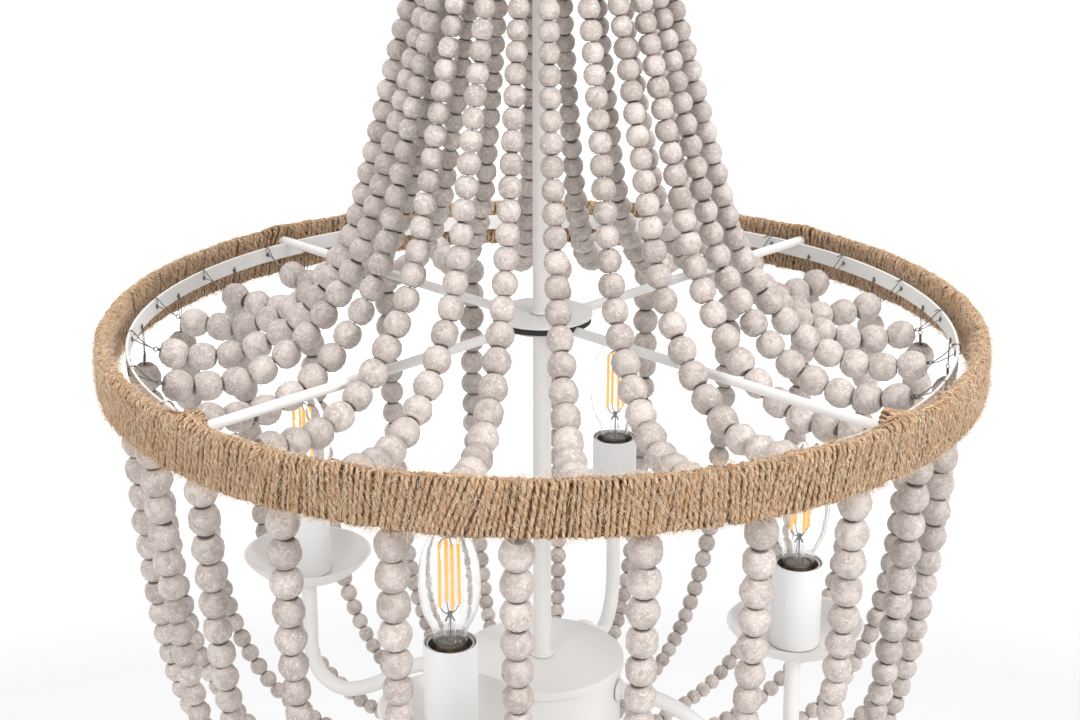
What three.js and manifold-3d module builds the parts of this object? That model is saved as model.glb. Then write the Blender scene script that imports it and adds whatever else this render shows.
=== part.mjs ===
// A beaded chandelier in millimetres, +Z up. The origin is on the ceiling, over the middle of the canopy.
// Heights of the shade are measured from the middle of the big ring. Angles run from the front, -Y, to +X.
import * as THREE from 'three';
import { mergeVertices } from 'three/addons/utils/BufferGeometryUtils.js';
import Module from 'manifold-3d';

const wasm = await Module();
wasm.setup();

// Driving dimensions
const RING_OUTER_RADIUS = 250;
const UPPER_HEIGHT = 283;
const LAMP_RIM_DEPTH = 119;
const LAMP_INSET = 78.4;
const PAIR_COUNT = 12;
const LAMP_COUNT = 4;
const SPOKE_COUNT = 4;
const FIRST_LAMP_ANGLE = THREE.MathUtils.degToRad(-18.3);
const FIRST_SPOKE_ANGLE = THREE.MathUtils.degToRad(45);
const FIRST_UPPER_ANGLE = THREE.MathUtils.degToRad(4.5);
const FIRST_LOWER_ANGLE = THREE.MathUtils.degToRad(-3);

// Clearances
const SEAT_GAP = 0.3;
const SHELL_GAP = 0.6;
const NECK_GAP = 1.4;
const CUT_OVERRUN = 2;
const MERGE_TOLERANCE = 0.001;

// Ring wound with twine, and the flat band inside it
const RING_THICKNESS = 9;
const RING_HEIGHT = 28;
const RING_CORNER = 2.5;
const RING_TO_BAND = 8;
const BAND_THICKNESS = 1.6;
const BAND_BOTTOM = 0.9;
const BAND_TOP = 8.9;

// Hub and spokes
const SPOKE_DIAMETER = 5.6;
const SPOKE_HEIGHT = 8.8;
const SPOKE_HUB_RADIUS = 22;
const SPOKE_ROOT_INSET = 2;
const GASKET_RADIUS = 28;
const GASKET_THICKNESS = 3.3;
const GASKET_ABOVE_SPOKES = 0.8;
const CAP_RADIUS = 28.8;
const CAP_THICKNESS = 1.4;

// Rod through the middle
const ROD_RADIUS = 5.4;
const ROD_WALL = 1.5;
const ROD_COLLAR_EDGE = 1.6;
const ROD_COLLAR_HEIGHT = 2;
const ROD_ABOVE_PLATE = 14;
const ROD_BELOW_PLATE = 9;

// Plates that carry the strand wires
const TOP_WIRE_RADIUS = 47;
const BOTTOM_WIRE_RADIUS = 40;
const PLATE_EDGE = 4;
const PLATE_THICKNESS = 3;
const WIRE_HOLE_GAP = 0.8;

// Strands of beads on wire
const WIRE_RADIUS = 0.7;
const TOP_BEAD_DIAMETER = 11.4;
const BAND_BEAD_DIAMETER = 17.5;
const TIP_BEAD_DIAMETER = 9.2;
const WIRE_BEND = 2;
const UPPER_WIRE_RISE = 4;
const BEAD_PITCH_SHARE = 0.965;
const UPPER_GRADE_SHARE = 1.5;
const LOWER_GRADE_END_SHARE = 0.8;
const BODY_WIDTH_SHARE = 0.96;
const BODY_END_SHARE = 0.6;
const HOOK_SHARE = 0.3;

// Upper strands: shares of the way out from the top plate's wires to the band, and of the height above it
const UPPER_CURVE_SHARES = [
  [0.003, 0.975],
  [0.06, 0.82],
  [0.119, 0.67],
  [0.179, 0.523],
  [0.249, 0.355],
  [0.331, 0.186],
  [0.423, 0.09],
  [0.537, 0.014],
  [0.699, -0.036],
  [0.856, -0.034],
  [0.93, -0.02],
];

// Lower strands: shares of the way out from the bottom plate's wires to the band, and of the depth below it
const LOWER_CURVE_SHARES = [
  [0.999, 0.035],
  [0.992, 0.157],
  [0.971, 0.383],
  [0.935, 0.592],
  [0.893, 0.714],
  [0.82, 0.819],
  [0.721, 0.902],
  [0.574, 0.962],
  [0.366, 0.993],
  [0.157, 1.005],
  [0.06, 1.007],
];

// Round box that carries the arms
const BOX_RADIUS = 47.5;
const BOX_WALL = 1.5;
const BOX_HEIGHT = 60;
const BOX_ABOVE_PLATE = 21;
const LID_THICKNESS = 1.5;
const LID_LIP = 5;

// Arms
const ARM_RADIUS = 4.6;
const ARM_BELOW_LID = 16;
const LAMP_ABOVE_ARM = 100;
const ARM_DIP = 30;
const ARM_INSIDE_BOX = 6;
const ARM_COLLAR_RADIUS = 6.6;
const ARM_COLLAR_LENGTH = 2;
const NIPPLE_RADIUS = 3.6;
const NIPPLE_GRIP = 5;

// The arm's bend: shares of the way from the box to the lamp, and of the dip
const ARM_CURVE_SHARES = [
  [0.175, 0],
  [0.327, 0.13],
  [0.43, 0.33],
  [0.573, 0.73],
  [0.697, 0.93],
  [0.79, 1],
  [0.886, 0.9],
  [0.962, 0.63],
  [1, 0.2],
  [1, -0.3],
];

// Lamps
const SLEEVE_WALL = 1;
const SLEEVE_HEIGHT = 50;
const PAN_RADIUS = 39.3;
const PAN_BASE_EDGE = 4.6;
const PAN_RISE = 12;
const PAN_WALL = 1.5;
const PAN_FLARE_SHARE = 0.35;
const HOLDER_WALL = 0.8;
const HOLDER_RIM_WALL = 2.4;
const HOLDER_RIM_HEIGHT = 3;
const HOLDER_TOP_DROP = 2;
const HOLDER_CUP_FLOOR_GAP = 3;
const HOLDER_BASE = 6;
const BULB_SHELL_RADIUS = 6.9;
const BULB_SHELL_LENGTH = 18;
const BULB_NECK_RADIUS = 8.8;
const BULB_NECK_DEPTH = 10;
const BULB_TAPER = 3;
const BULB_RADIUS = 17.8;
const BULB_HEIGHT = 74;
const BULB_TIP_RADIUS = 1.6;

// The glass: shares of the bulb's radius and of its height above the sleeve
const BULB_OUTLINE_SHARES = [
  [0.66, 0.06],
  [0.87, 0.2],
  [1, 0.38],
  [0.93, 0.56],
  [0.72, 0.73],
  [0.4, 0.89],
];

// Canopy, its bracket, the loops and the link
const CANOPY_RADIUS = 60;
const CANOPY_DEPTH = 28;
const CANOPY_WALL = 1.2;
const CANOPY_FLAT_SHARE = 0.45;
const CANOPY_SHOULDER_SHARE = 0.85;
const CANOPY_EDGE_SHARE = 0.97;
const BRACKET_END_GAP = 10.8;
const BRACKET_WIDTH = 16;
const BRACKET_THICKNESS = 2.5;
const BRACKET_SLOT_LENGTH = 14;
const BRACKET_SLOT_WIDTH = 5;
const BRACKET_SLOT_EDGE = 6;
const STUD_RADIUS = 5;
const STUD_ABOVE_BRACKET = 1.2;
const LOOP_RADIUS = 11;
const LOOP_WIRE_RADIUS = 2;
const LOOP_COLLAR_RADIUS = 8;
const LOOP_COLLAR_HEIGHT = 10;
const LOOP_SINK = 1;
const LINK_WIRE_RADIUS = 2;
const LINK_HALF_WIDTH = 8;
const LINK_PITCH = 40;

// Bottom knob
const KNOB_RADIUS = 10;
const KNOB_HEIGHT = 30;

// The knob from its tip up: shares of its radius and of its height
const KNOB_OUTLINE_SHARES = [
  [0.3, 0],
  [0.8, 0.15],
  [1, 0.35],
  [0.9, 0.6],
  [0.75, 0.85],
  [0.75, 1],
];

// Facets
const RING_SEGMENTS = 48;
const ROUND_SEGMENTS = 20;
const PAN_SEGMENTS = 16;
const SMALL_SEGMENTS = 12;
const LOOP_SEGMENTS = 16;
const ARM_SIDES = 8;
const ARM_STEPS = 14;
const STRAND_SIDES = 5;
const BEADS_PER_SECTION = 4;
const WIRE_SIDES = 6;
const WIRE_HOLE_SIDES = 4;

// Widths that follow from the sizes above
const STRAND_COUNT = PAIR_COUNT * 2;
const BAND_OUTER_RADIUS = RING_OUTER_RADIUS - RING_THICKNESS - RING_TO_BAND;
const BAND_INNER_RADIUS = BAND_OUTER_RADIUS - BAND_THICKNESS;
const LAMP_RADIUS = BAND_INNER_RADIUS - LAMP_INSET;
const BORE_RADIUS = ROD_RADIUS + SEAT_GAP;
const WIRE_HOLE_RADIUS = WIRE_RADIUS + WIRE_HOLE_GAP;
const HOLDER_CUP_RADIUS = BULB_NECK_RADIUS + NECK_GAP;
const HOLDER_RIM_RADIUS = HOLDER_CUP_RADIUS + HOLDER_RIM_WALL;
const SLEEVE_INNER_RADIUS = (HOLDER_RIM_RADIUS + SEAT_GAP) / Math.cos(Math.PI / SMALL_SEGMENTS);
const SLEEVE_RADIUS = SLEEVE_INNER_RADIUS + SLEEVE_WALL;
const PAN_BASE_RADIUS = SLEEVE_RADIUS + PAN_BASE_EDGE;

// Heights that follow, down from the ceiling or, as depths, down from the middle of the ring
const ARM_EXIT_DEPTH = LAMP_RIM_DEPTH + LAMP_ABOVE_ARM;
const BOX_TOP_DEPTH = ARM_EXIT_DEPTH - ARM_BELOW_LID;
const LOWER_DEPTH = BOX_TOP_DEPTH + BOX_HEIGHT + BOX_ABOVE_PLATE + PLATE_THICKNESS;
const LOOP_MIDDLE_Z = -(CANOPY_DEPTH + SEAT_GAP + LOOP_COLLAR_HEIGHT + LOOP_RADIUS - LOOP_SINK);
const CONTACT = LOOP_WIRE_RADIUS + LINK_WIRE_RADIUS + SEAT_GAP;
const LINK_TOP_Z = LOOP_MIDDLE_Z - LOOP_RADIUS + CONTACT;
const LINK_BOTTOM_Z = LINK_TOP_Z - LINK_PITCH;
const FIXTURE_LOOP_Z = LINK_BOTTOM_Z + CONTACT - LOOP_RADIUS;
const ROD_TOP_Z = FIXTURE_LOOP_Z - LOOP_RADIUS + LOOP_SINK - LOOP_COLLAR_HEIGHT - SEAT_GAP;
const TOP_PLATE_Z = ROD_TOP_Z - ROD_ABOVE_PLATE - PLATE_THICKNESS;
const RING_Z = TOP_PLATE_Z - UPPER_HEIGHT;
const BOTTOM_PLATE_Z = RING_Z - LOWER_DEPTH;
const SPOKE_TOP = SPOKE_HEIGHT + SPOKE_DIAMETER / 2;
const SPOKE_BOTTOM = SPOKE_HEIGHT - SPOKE_DIAMETER / 2;
const GASKET_TOP = SPOKE_TOP + GASKET_ABOVE_SPOKES;
const CAP_BOTTOM = GASKET_TOP + SEAT_GAP;
const PAN_TOP = -LAMP_RIM_DEPTH - SLEEVE_HEIGHT - SEAT_GAP;
const PAN_UNDERSIDE = PAN_TOP - PAN_WALL;

const PAINT = { color: 0xe6e5e4, roughness: 0.45, metalness: 0 };
const WOOD = { color: 0xc8beb8, roughness: 0.8, metalness: 0 };
const TWINE = { color: 0xbe9b73, roughness: 0.95, metalness: 0 };
const RUBBER = { color: 0x1c1c1c, roughness: 0.7, metalness: 0 };
const STEEL = { color: 0xb9bcc0, roughness: 0.35, metalness: 1 };
const GLASS = { color: 0xf2f4f4, roughness: 0.05, metalness: 0, transparent: true, opacity: 0.35 };

const chandelier = new THREE.Group();

function addPiece(parent, name, geometry, finish) {
  geometry.computeVertexNormals();
  const piece = new THREE.Mesh(geometry, new THREE.MeshStandardMaterial(finish));
  piece.name = name;
  parent.add(piece);
  return piece;
}

function at(radius, angle, z) {
  return new THREE.Vector3(radius * Math.sin(angle), -radius * Math.cos(angle), z);
}

// How far the flats of a polygon lie from its middle, given its corners' radius
function flatRadius(radius, segments) {
  return radius * Math.cos(Math.PI / segments);
}

// A profile of [radius, height] points turned about the Z axis, its outer side going up
function turned(profile, segments) {
  const outline = profile.map(([radius, z]) => new THREE.Vector2(radius, z));
  return new THREE.LatheGeometry(outline, segments).rotateX(Math.PI / 2);
}

// A turned ring with a square section
function turnedRing(inner, outer, bottom, top, segments) {
  const profile = [[outer, bottom], [outer, top], [inner, top], [inner, bottom], [outer, bottom]];
  return turned(profile, segments);
}

// A round bar along X, Y or Z, centred at the origin before it is moved
function bar(radius, length, sides) {
  return new THREE.CylinderGeometry(radius, radius, length, sides).rotateX(Math.PI / 2);
}

function toSolid(geometry) {
  const bare = geometry.clone();
  bare.deleteAttribute('normal');
  bare.deleteAttribute('uv');
  const merged = mergeVertices(bare, MERGE_TOLERANCE);
  const vertProperties = merged.attributes.position.array;
  const triVerts = new Uint32Array(merged.index.array);
  return new wasm.Manifold(new wasm.Mesh({ numProp: 3, vertProperties, triVerts }));
}

function toGeometry(solid) {
  const mesh = solid.getMesh();
  const geometry = new THREE.BufferGeometry();
  geometry.setAttribute('position', new THREE.BufferAttribute(mesh.vertProperties, 3));
  geometry.setIndex(new THREE.BufferAttribute(mesh.triVerts, 1));
  return geometry.toNonIndexed();
}

// One skin over sections of [centre, radius], the frame carried along the path without twist
function lofted(sections, sides, closed) {
  const count = sections.length;
  const positions = [];
  const normal = new THREE.Vector3(0, 0, 1);
  for (let i = 0; i < count; i += 1) {
    const before = sections[closed ? (i + count - 1) % count : Math.max(i - 1, 0)][0];
    const after = sections[closed ? (i + 1) % count : Math.min(i + 1, count - 1)][0];
    const along = after.clone().sub(before).normalize();
    if (i === 0) normal.set(along.y, along.z, along.x);
    normal.addScaledVector(along, -normal.dot(along)).normalize();
    const side = along.clone().cross(normal);
    const [centre, radius] = sections[i];
    for (let k = 0; k < sides; k += 1) {
      const turn = (k / sides) * Math.PI * 2;
      const point = centre.clone();
      point.addScaledVector(normal, radius * Math.cos(turn));
      point.addScaledVector(side, radius * Math.sin(turn));
      positions.push(point.x, point.y, point.z);
    }
  }
  const faces = [];
  const joins = closed ? count : count - 1;
  for (let i = 0; i < joins; i += 1) {
    const here = i * sides;
    const next = ((i + 1) % count) * sides;
    for (let k = 0; k < sides; k += 1) {
      const other = (k + 1) % sides;
      faces.push(here + k, here + other, next + k);
      faces.push(here + other, next + other, next + k);
    }
  }
  if (!closed) {
    const last = (count - 1) * sides;
    for (let k = 1; k < sides - 1; k += 1) {
      faces.push(0, k + 1, k);
      faces.push(last, last + k, last + k + 1);
    }
  }
  const geometry = new THREE.BufferGeometry();
  geometry.setAttribute('position', new THREE.Float32BufferAttribute(positions, 3));
  geometry.setIndex(faces);
  return geometry.toNonIndexed();
}

// Cup that covers the ceiling box, open at the top, with a hole for the loop's stud
function canopyGeometry() {
  const flat = CANOPY_RADIUS * CANOPY_FLAT_SHARE;
  const shoulder = CANOPY_RADIUS * CANOPY_SHOULDER_SHARE;
  const edge = CANOPY_RADIUS * CANOPY_EDGE_SHARE;
  const hole = STUD_RADIUS + SEAT_GAP;
  const bottom = -CANOPY_DEPTH;
  return turned([
    [hole, bottom],
    [flat, bottom],
    [shoulder, bottom * CANOPY_SHOULDER_SHARE],
    [edge, bottom * CANOPY_FLAT_SHARE],
    [CANOPY_RADIUS, 0],
    [CANOPY_RADIUS - CANOPY_WALL, 0],
    [edge - CANOPY_WALL, bottom * CANOPY_FLAT_SHARE],
    [shoulder - CANOPY_WALL, bottom * CANOPY_SHOULDER_SHARE + CANOPY_WALL],
    [flat, bottom + CANOPY_WALL],
    [hole, bottom + CANOPY_WALL],
    [hole, bottom],
  ], ROUND_SEGMENTS);
}

// Flat bar screwed to the ceiling box, with two slots and a hole for the stud
function bracketGeometry() {
  const half = CANOPY_RADIUS - CANOPY_WALL - BRACKET_END_GAP;
  const plate = new THREE.BoxGeometry(half * 2, BRACKET_WIDTH, BRACKET_THICKNESS);
  plate.translate(0, 0, -BRACKET_THICKNESS / 2);
  const height = BRACKET_THICKNESS + CUT_OVERRUN * 2;
  const hole = bar(STUD_RADIUS + SEAT_GAP, height, SMALL_SEGMENTS).translate(0, 0, -BRACKET_THICKNESS / 2);
  let solid = toSolid(plate).subtract(toSolid(hole));
  for (const side of [-1, 1]) {
    const slot = new THREE.BoxGeometry(BRACKET_SLOT_LENGTH, BRACKET_SLOT_WIDTH, height);
    const centre = half - BRACKET_SLOT_EDGE - BRACKET_SLOT_LENGTH / 2;
    slot.translate(side * centre, 0, -BRACKET_THICKNESS / 2);
    solid = solid.subtract(toSolid(slot));
  }
  return toGeometry(solid);
}

// A ring of wire in the XZ plane under or over a turned collar
function loopSolid(middleZ, collarBottom, collarTop, collarRadius) {
  const ring = new THREE.TorusGeometry(LOOP_RADIUS, LOOP_WIRE_RADIUS, WIRE_SIDES, LOOP_SEGMENTS);
  ring.rotateX(Math.PI / 2).translate(0, 0, middleZ);
  const collar = bar(collarRadius, collarTop - collarBottom, SMALL_SEGMENTS);
  collar.translate(0, 0, (collarTop + collarBottom) / 2);
  return toSolid(ring).add(toSolid(collar));
}

function canopyLoopGeometry() {
  const collarTop = -CANOPY_DEPTH - SEAT_GAP;
  const loop = loopSolid(LOOP_MIDDLE_Z, collarTop - LOOP_COLLAR_HEIGHT, collarTop, LOOP_COLLAR_RADIUS);
  const studTop = -STUD_ABOVE_BRACKET;
  const studLength = studTop - collarTop + LOOP_SINK;
  const stud = bar(STUD_RADIUS, studLength, SMALL_SEGMENTS).translate(0, 0, studTop - studLength / 2);
  return toGeometry(loop.add(toSolid(stud)));
}

function fixtureLoopGeometry() {
  const collarBottom = ROD_TOP_Z + SEAT_GAP;
  const top = collarBottom + LOOP_COLLAR_HEIGHT;
  const loop = loopSolid(FIXTURE_LOOP_Z, collarBottom, top, LOOP_COLLAR_RADIUS);
  const tenonLength = LOOP_COLLAR_HEIGHT;
  const tenon = bar(ROD_RADIUS - ROD_WALL - SEAT_GAP, tenonLength + LOOP_SINK, SMALL_SEGMENTS);
  tenon.translate(0, 0, collarBottom + (LOOP_SINK - tenonLength) / 2);
  return toGeometry(loop.add(toSolid(tenon)));
}

// A long link in the YZ plane: two half rounds joined by straight sides
function linkGeometry() {
  const sections = [];
  const half = LOOP_SEGMENTS / 2;
  for (const end of [0, 1]) {
    const middle = end ? LINK_BOTTOM_Z + LINK_HALF_WIDTH : LINK_TOP_Z - LINK_HALF_WIDTH;
    for (let i = 0; i <= half; i += 1) {
      const turn = end * Math.PI + (i / half) * Math.PI;
      const y = LINK_HALF_WIDTH * Math.cos(turn);
      const z = middle + LINK_HALF_WIDTH * Math.sin(turn);
      sections.push([new THREE.Vector3(0, y, z), LINK_WIRE_RADIUS]);
    }
  }
  return lofted(sections, WIRE_SIDES, true);
}

// A flat round plate with a ring of wire holes and a bore for the rod
function plateGeometry(wireRadius, firstAngle) {
  const outline = new THREE.Shape();
  outline.absarc(0, 0, wireRadius + PLATE_EDGE, 0, Math.PI * 2);
  const bore = new THREE.Path();
  bore.absarc(0, 0, BORE_RADIUS, 0, Math.PI * 2);
  outline.holes.push(bore);
  for (let i = 0; i < STRAND_COUNT; i += 1) {
    const centre = at(wireRadius, firstAngle + (i / STRAND_COUNT) * Math.PI * 2, 0);
    const corners = [];
    for (let k = 0; k < WIRE_HOLE_SIDES; k += 1) {
      const turn = (k / WIRE_HOLE_SIDES) * Math.PI * 2;
      const x = centre.x + WIRE_HOLE_RADIUS * Math.cos(turn);
      corners.push(new THREE.Vector2(x, centre.y + WIRE_HOLE_RADIUS * Math.sin(turn)));
    }
    outline.holes.push(new THREE.Path(corners));
  }
  const curveSegments = ROUND_SEGMENTS / 2;
  return new THREE.ExtrudeGeometry(outline, { depth: PLATE_THICKNESS, bevelEnabled: false, curveSegments });
}

// The rod, with a collar over or under each piece that it carries
function rodGeometry() {
  const bottom = BOTTOM_PLATE_Z - ROD_BELOW_PLATE;
  const collarTops = [
    BOTTOM_PLATE_Z + PLATE_THICKNESS + SEAT_GAP + ROD_COLLAR_HEIGHT,
    RING_Z - BOX_TOP_DEPTH + SEAT_GAP + ROD_COLLAR_HEIGHT,
    RING_Z + SPOKE_BOTTOM - SEAT_GAP,
    RING_Z + CAP_BOTTOM + CAP_THICKNESS + SEAT_GAP + ROD_COLLAR_HEIGHT,
    TOP_PLATE_Z - SEAT_GAP,
  ];
  const collar = ROD_RADIUS + ROD_COLLAR_EDGE;
  const inner = ROD_RADIUS - ROD_WALL;
  const profile = [[inner, bottom], [ROD_RADIUS, bottom]];
  for (const top of collarTops) {
    profile.push([ROD_RADIUS, top - ROD_COLLAR_HEIGHT], [collar, top - ROD_COLLAR_HEIGHT]);
    profile.push([collar, top], [ROD_RADIUS, top]);
  }
  profile.push([ROD_RADIUS, ROD_TOP_Z], [inner, ROD_TOP_Z], [inner, bottom]);
  return turned(profile, SMALL_SEGMENTS);
}

function spokeTurns() {
  return Array.from({ length: SPOKE_COUNT }, (_, i) => FIRST_SPOKE_ANGLE + (i / SPOKE_COUNT) * Math.PI * 2);
}

// A round bar that runs outwards from one radius to another at the spokes' height
function spokeSolid(inner, outer, radius, angle, sides) {
  const spoke = bar(radius, outer - inner, sides).rotateX(Math.PI / 2);
  spoke.translate(0, -(outer + inner) / 2, RING_Z + SPOKE_HEIGHT).rotateZ(angle);
  return toSolid(spoke);
}

function spokeFrameGeometry() {
  const bottom = RING_Z + SPOKE_BOTTOM;
  const top = RING_Z + SPOKE_TOP;
  let solid = toSolid(turnedRing(BORE_RADIUS, SPOKE_HUB_RADIUS, bottom, top, ROUND_SEGMENTS));
  const outer = flatRadius(RING_OUTER_RADIUS - RING_THICKNESS, RING_SEGMENTS) - SEAT_GAP;
  for (const angle of spokeTurns()) {
    const inner = SPOKE_HUB_RADIUS - SPOKE_ROOT_INSET;
    solid = solid.add(spokeSolid(inner, outer, SPOKE_DIAMETER / 2, angle, ARM_SIDES));
  }
  return toGeometry(solid);
}

// The dark washer under the cap, notched for the spokes
function gasketGeometry() {
  const top = RING_Z + GASKET_TOP;
  const inner = SPOKE_HUB_RADIUS + SEAT_GAP;
  let solid = toSolid(turnedRing(inner, GASKET_RADIUS, top - GASKET_THICKNESS, top, ROUND_SEGMENTS));
  for (const angle of spokeTurns()) {
    const outer = GASKET_RADIUS + CUT_OVERRUN;
    const radius = SPOKE_DIAMETER / 2 + SEAT_GAP;
    solid = solid.subtract(spokeSolid(inner - CUT_OVERRUN, outer, radius, angle, ARM_SIDES));
  }
  return toGeometry(solid);
}

// The flat band, notched at the top for the spokes that cross it
function bandGeometry() {
  const bottom = RING_Z - BAND_BOTTOM;
  const top = RING_Z + BAND_TOP;
  let solid = toSolid(turnedRing(BAND_INNER_RADIUS, BAND_OUTER_RADIUS, bottom, top, RING_SEGMENTS));
  const depth = BAND_TOP - SPOKE_BOTTOM + SEAT_GAP;
  const width = SPOKE_DIAMETER + SEAT_GAP * 2;
  for (const angle of spokeTurns()) {
    const notch = new THREE.BoxGeometry(width, BAND_THICKNESS + CUT_OVERRUN * 2, depth + CUT_OVERRUN);
    notch.translate(0, -BAND_OUTER_RADIUS, top + (CUT_OVERRUN - depth) / 2).rotateZ(angle);
    solid = solid.subtract(toSolid(notch));
  }
  return toGeometry(solid);
}

// The wound ring as one solid with its corners taken off
function woundRingGeometry() {
  const inner = RING_OUTER_RADIUS - RING_THICKNESS;
  const top = RING_Z + RING_HEIGHT / 2;
  const bottom = RING_Z - RING_HEIGHT / 2;
  return turned([
    [RING_OUTER_RADIUS - RING_CORNER, bottom],
    [RING_OUTER_RADIUS, bottom + RING_CORNER],
    [RING_OUTER_RADIUS, top - RING_CORNER],
    [RING_OUTER_RADIUS - RING_CORNER, top],
    [inner + RING_CORNER, top],
    [inner, top - RING_CORNER],
    [inner, bottom + RING_CORNER],
    [inner + RING_CORNER, bottom],
    [RING_OUTER_RADIUS - RING_CORNER, bottom],
  ], RING_SEGMENTS);
}

// Lid that drops over the box like a jar lid
function lidGeometry() {
  const top = RING_Z - BOX_TOP_DEPTH;
  const inner = BOX_RADIUS + SEAT_GAP;
  const outer = inner + LID_THICKNESS;
  return turned([
    [outer, top - LID_LIP],
    [outer, top],
    [BORE_RADIUS, top],
    [BORE_RADIUS, top - LID_THICKNESS],
    [inner, top - LID_THICKNESS],
    [inner, top - LID_LIP],
    [outer, top - LID_LIP],
  ], ROUND_SEGMENTS);
}

function boxGeometry() {
  const top = RING_Z - BOX_TOP_DEPTH - LID_THICKNESS - SEAT_GAP;
  const bottom = RING_Z - BOX_TOP_DEPTH - BOX_HEIGHT;
  const cup = turned([
    [BORE_RADIUS, bottom],
    [BOX_RADIUS, bottom],
    [BOX_RADIUS, top],
    [BOX_RADIUS - BOX_WALL, top],
    [BOX_RADIUS - BOX_WALL, bottom + BOX_WALL],
    [BORE_RADIUS, bottom + BOX_WALL],
    [BORE_RADIUS, bottom],
  ], ROUND_SEGMENTS);
  let solid = toSolid(cup);
  for (let i = 0; i < LAMP_COUNT; i += 1) {
    const hole = bar(ARM_RADIUS + SEAT_GAP, BOX_WALL + CUT_OVERRUN * 2, SMALL_SEGMENTS).rotateX(Math.PI / 2);
    hole.translate(0, -BOX_RADIUS + BOX_WALL / 2, RING_Z - ARM_EXIT_DEPTH);
    hole.rotateZ(FIRST_LAMP_ANGLE + (i / LAMP_COUNT) * Math.PI * 2);
    solid = solid.subtract(toSolid(hole));
  }
  return toGeometry(solid);
}

// Round knob that screws onto the end of the rod
function knobGeometry() {
  const top = BOTTOM_PLATE_Z - SEAT_GAP;
  const socket = BOTTOM_PLATE_Z - ROD_BELOW_PLATE - SEAT_GAP;
  const profile = [[0, top - KNOB_HEIGHT]];
  for (const [wide, high] of KNOB_OUTLINE_SHARES) {
    profile.push([KNOB_RADIUS * wide, top - KNOB_HEIGHT * (1 - high)]);
  }
  profile.push([BORE_RADIUS, top], [BORE_RADIUS, socket], [0, socket]);
  return turned(profile, SMALL_SEGMENTS);
}

// Bent tube from inside the box to under the pan, with a collar at the wall and a nipple into the holder
function armGeometry() {
  const exitZ = -ARM_EXIT_DEPTH;
  const reach = LAMP_RADIUS - BOX_RADIUS;
  const start = BOX_RADIUS - BOX_WALL - ARM_INSIDE_BOX;
  const collarMiddle = BOX_RADIUS + SEAT_GAP + ARM_COLLAR_LENGTH / 2;
  const stemTop = PAN_UNDERSIDE - SEAT_GAP;
  const points = [at(start, 0, exitZ), at(BOX_RADIUS, 0, exitZ)];
  for (const [out, down] of ARM_CURVE_SHARES) {
    points.push(at(BOX_RADIUS + reach * out, 0, exitZ - ARM_DIP * down));
  }
  points.push(at(LAMP_RADIUS, 0, stemTop));
  const section = [];
  for (let k = 0; k < ARM_SIDES; k += 1) {
    const turn = (k / ARM_SIDES) * Math.PI * 2;
    section.push(new THREE.Vector2(ARM_RADIUS * Math.cos(turn), ARM_RADIUS * Math.sin(turn)));
  }
  const extrudePath = new THREE.CatmullRomCurve3(points);
  const tube = new THREE.ExtrudeGeometry(new THREE.Shape(section), { steps: ARM_STEPS, extrudePath });
  const collar = bar(ARM_COLLAR_RADIUS, ARM_COLLAR_LENGTH, SMALL_SEGMENTS).rotateX(Math.PI / 2);
  collar.translate(0, -collarMiddle, exitZ);
  const nippleTop = PAN_TOP + SEAT_GAP + NIPPLE_GRIP;
  const nippleLength = nippleTop - stemTop + CUT_OVERRUN;
  const nipple = bar(NIPPLE_RADIUS, nippleLength, ARM_SIDES);
  nipple.translate(0, -LAMP_RADIUS, nippleTop - nippleLength / 2);
  return toGeometry(toSolid(tube).add(toSolid(collar)).add(toSolid(nipple)));
}

// Shallow dish under the candle sleeve
function panGeometry() {
  const hole = NIPPLE_RADIUS + SEAT_GAP;
  const rim = PAN_TOP + PAN_RISE;
  return turned([
    [hole, PAN_UNDERSIDE],
    [PAN_BASE_RADIUS, PAN_UNDERSIDE],
    [(PAN_BASE_RADIUS + PAN_RADIUS) / 2, PAN_UNDERSIDE + PAN_RISE * PAN_FLARE_SHARE],
    [PAN_RADIUS, rim - PAN_WALL],
    [PAN_RADIUS, rim],
    [PAN_RADIUS - PAN_WALL, rim],
    [(PAN_BASE_RADIUS + PAN_RADIUS) / 2 - PAN_WALL, PAN_TOP + PAN_RISE * PAN_FLARE_SHARE],
    [PAN_BASE_RADIUS - PAN_WALL, PAN_TOP],
    [hole, PAN_TOP],
    [hole, PAN_UNDERSIDE],
  ], PAN_SEGMENTS);
}

function sleeveGeometry() {
  const bottom = -LAMP_RIM_DEPTH - SLEEVE_HEIGHT;
  return turnedRing(SLEEVE_INNER_RADIUS, SLEEVE_RADIUS, bottom, -LAMP_RIM_DEPTH, SMALL_SEGMENTS);
}

// Lamp holder: a foot on the nipple, a bore for the screw shell and a wide cup with a rim
function holderGeometry() {
  const bottom = PAN_TOP + SEAT_GAP;
  const top = -LAMP_RIM_DEPTH - HOLDER_TOP_DROP;
  const outer = HOLDER_CUP_RADIUS + HOLDER_WALL;
  const cupFloor = -LAMP_RIM_DEPTH - BULB_NECK_DEPTH - BULB_TAPER - HOLDER_CUP_FLOOR_GAP;
  const bore = BULB_SHELL_RADIUS + SHELL_GAP;
  const foot = NIPPLE_RADIUS + SEAT_GAP;
  return turned([
    [outer, bottom],
    [outer, top - HOLDER_RIM_HEIGHT],
    [HOLDER_RIM_RADIUS, top - HOLDER_RIM_HEIGHT],
    [HOLDER_RIM_RADIUS, top],
    [HOLDER_CUP_RADIUS, top],
    [HOLDER_CUP_RADIUS, cupFloor],
    [bore, cupFloor],
    [bore, bottom + HOLDER_BASE],
    [foot, bottom + HOLDER_BASE],
    [foot, bottom],
    [outer, bottom],
  ], SMALL_SEGMENTS);
}

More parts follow.
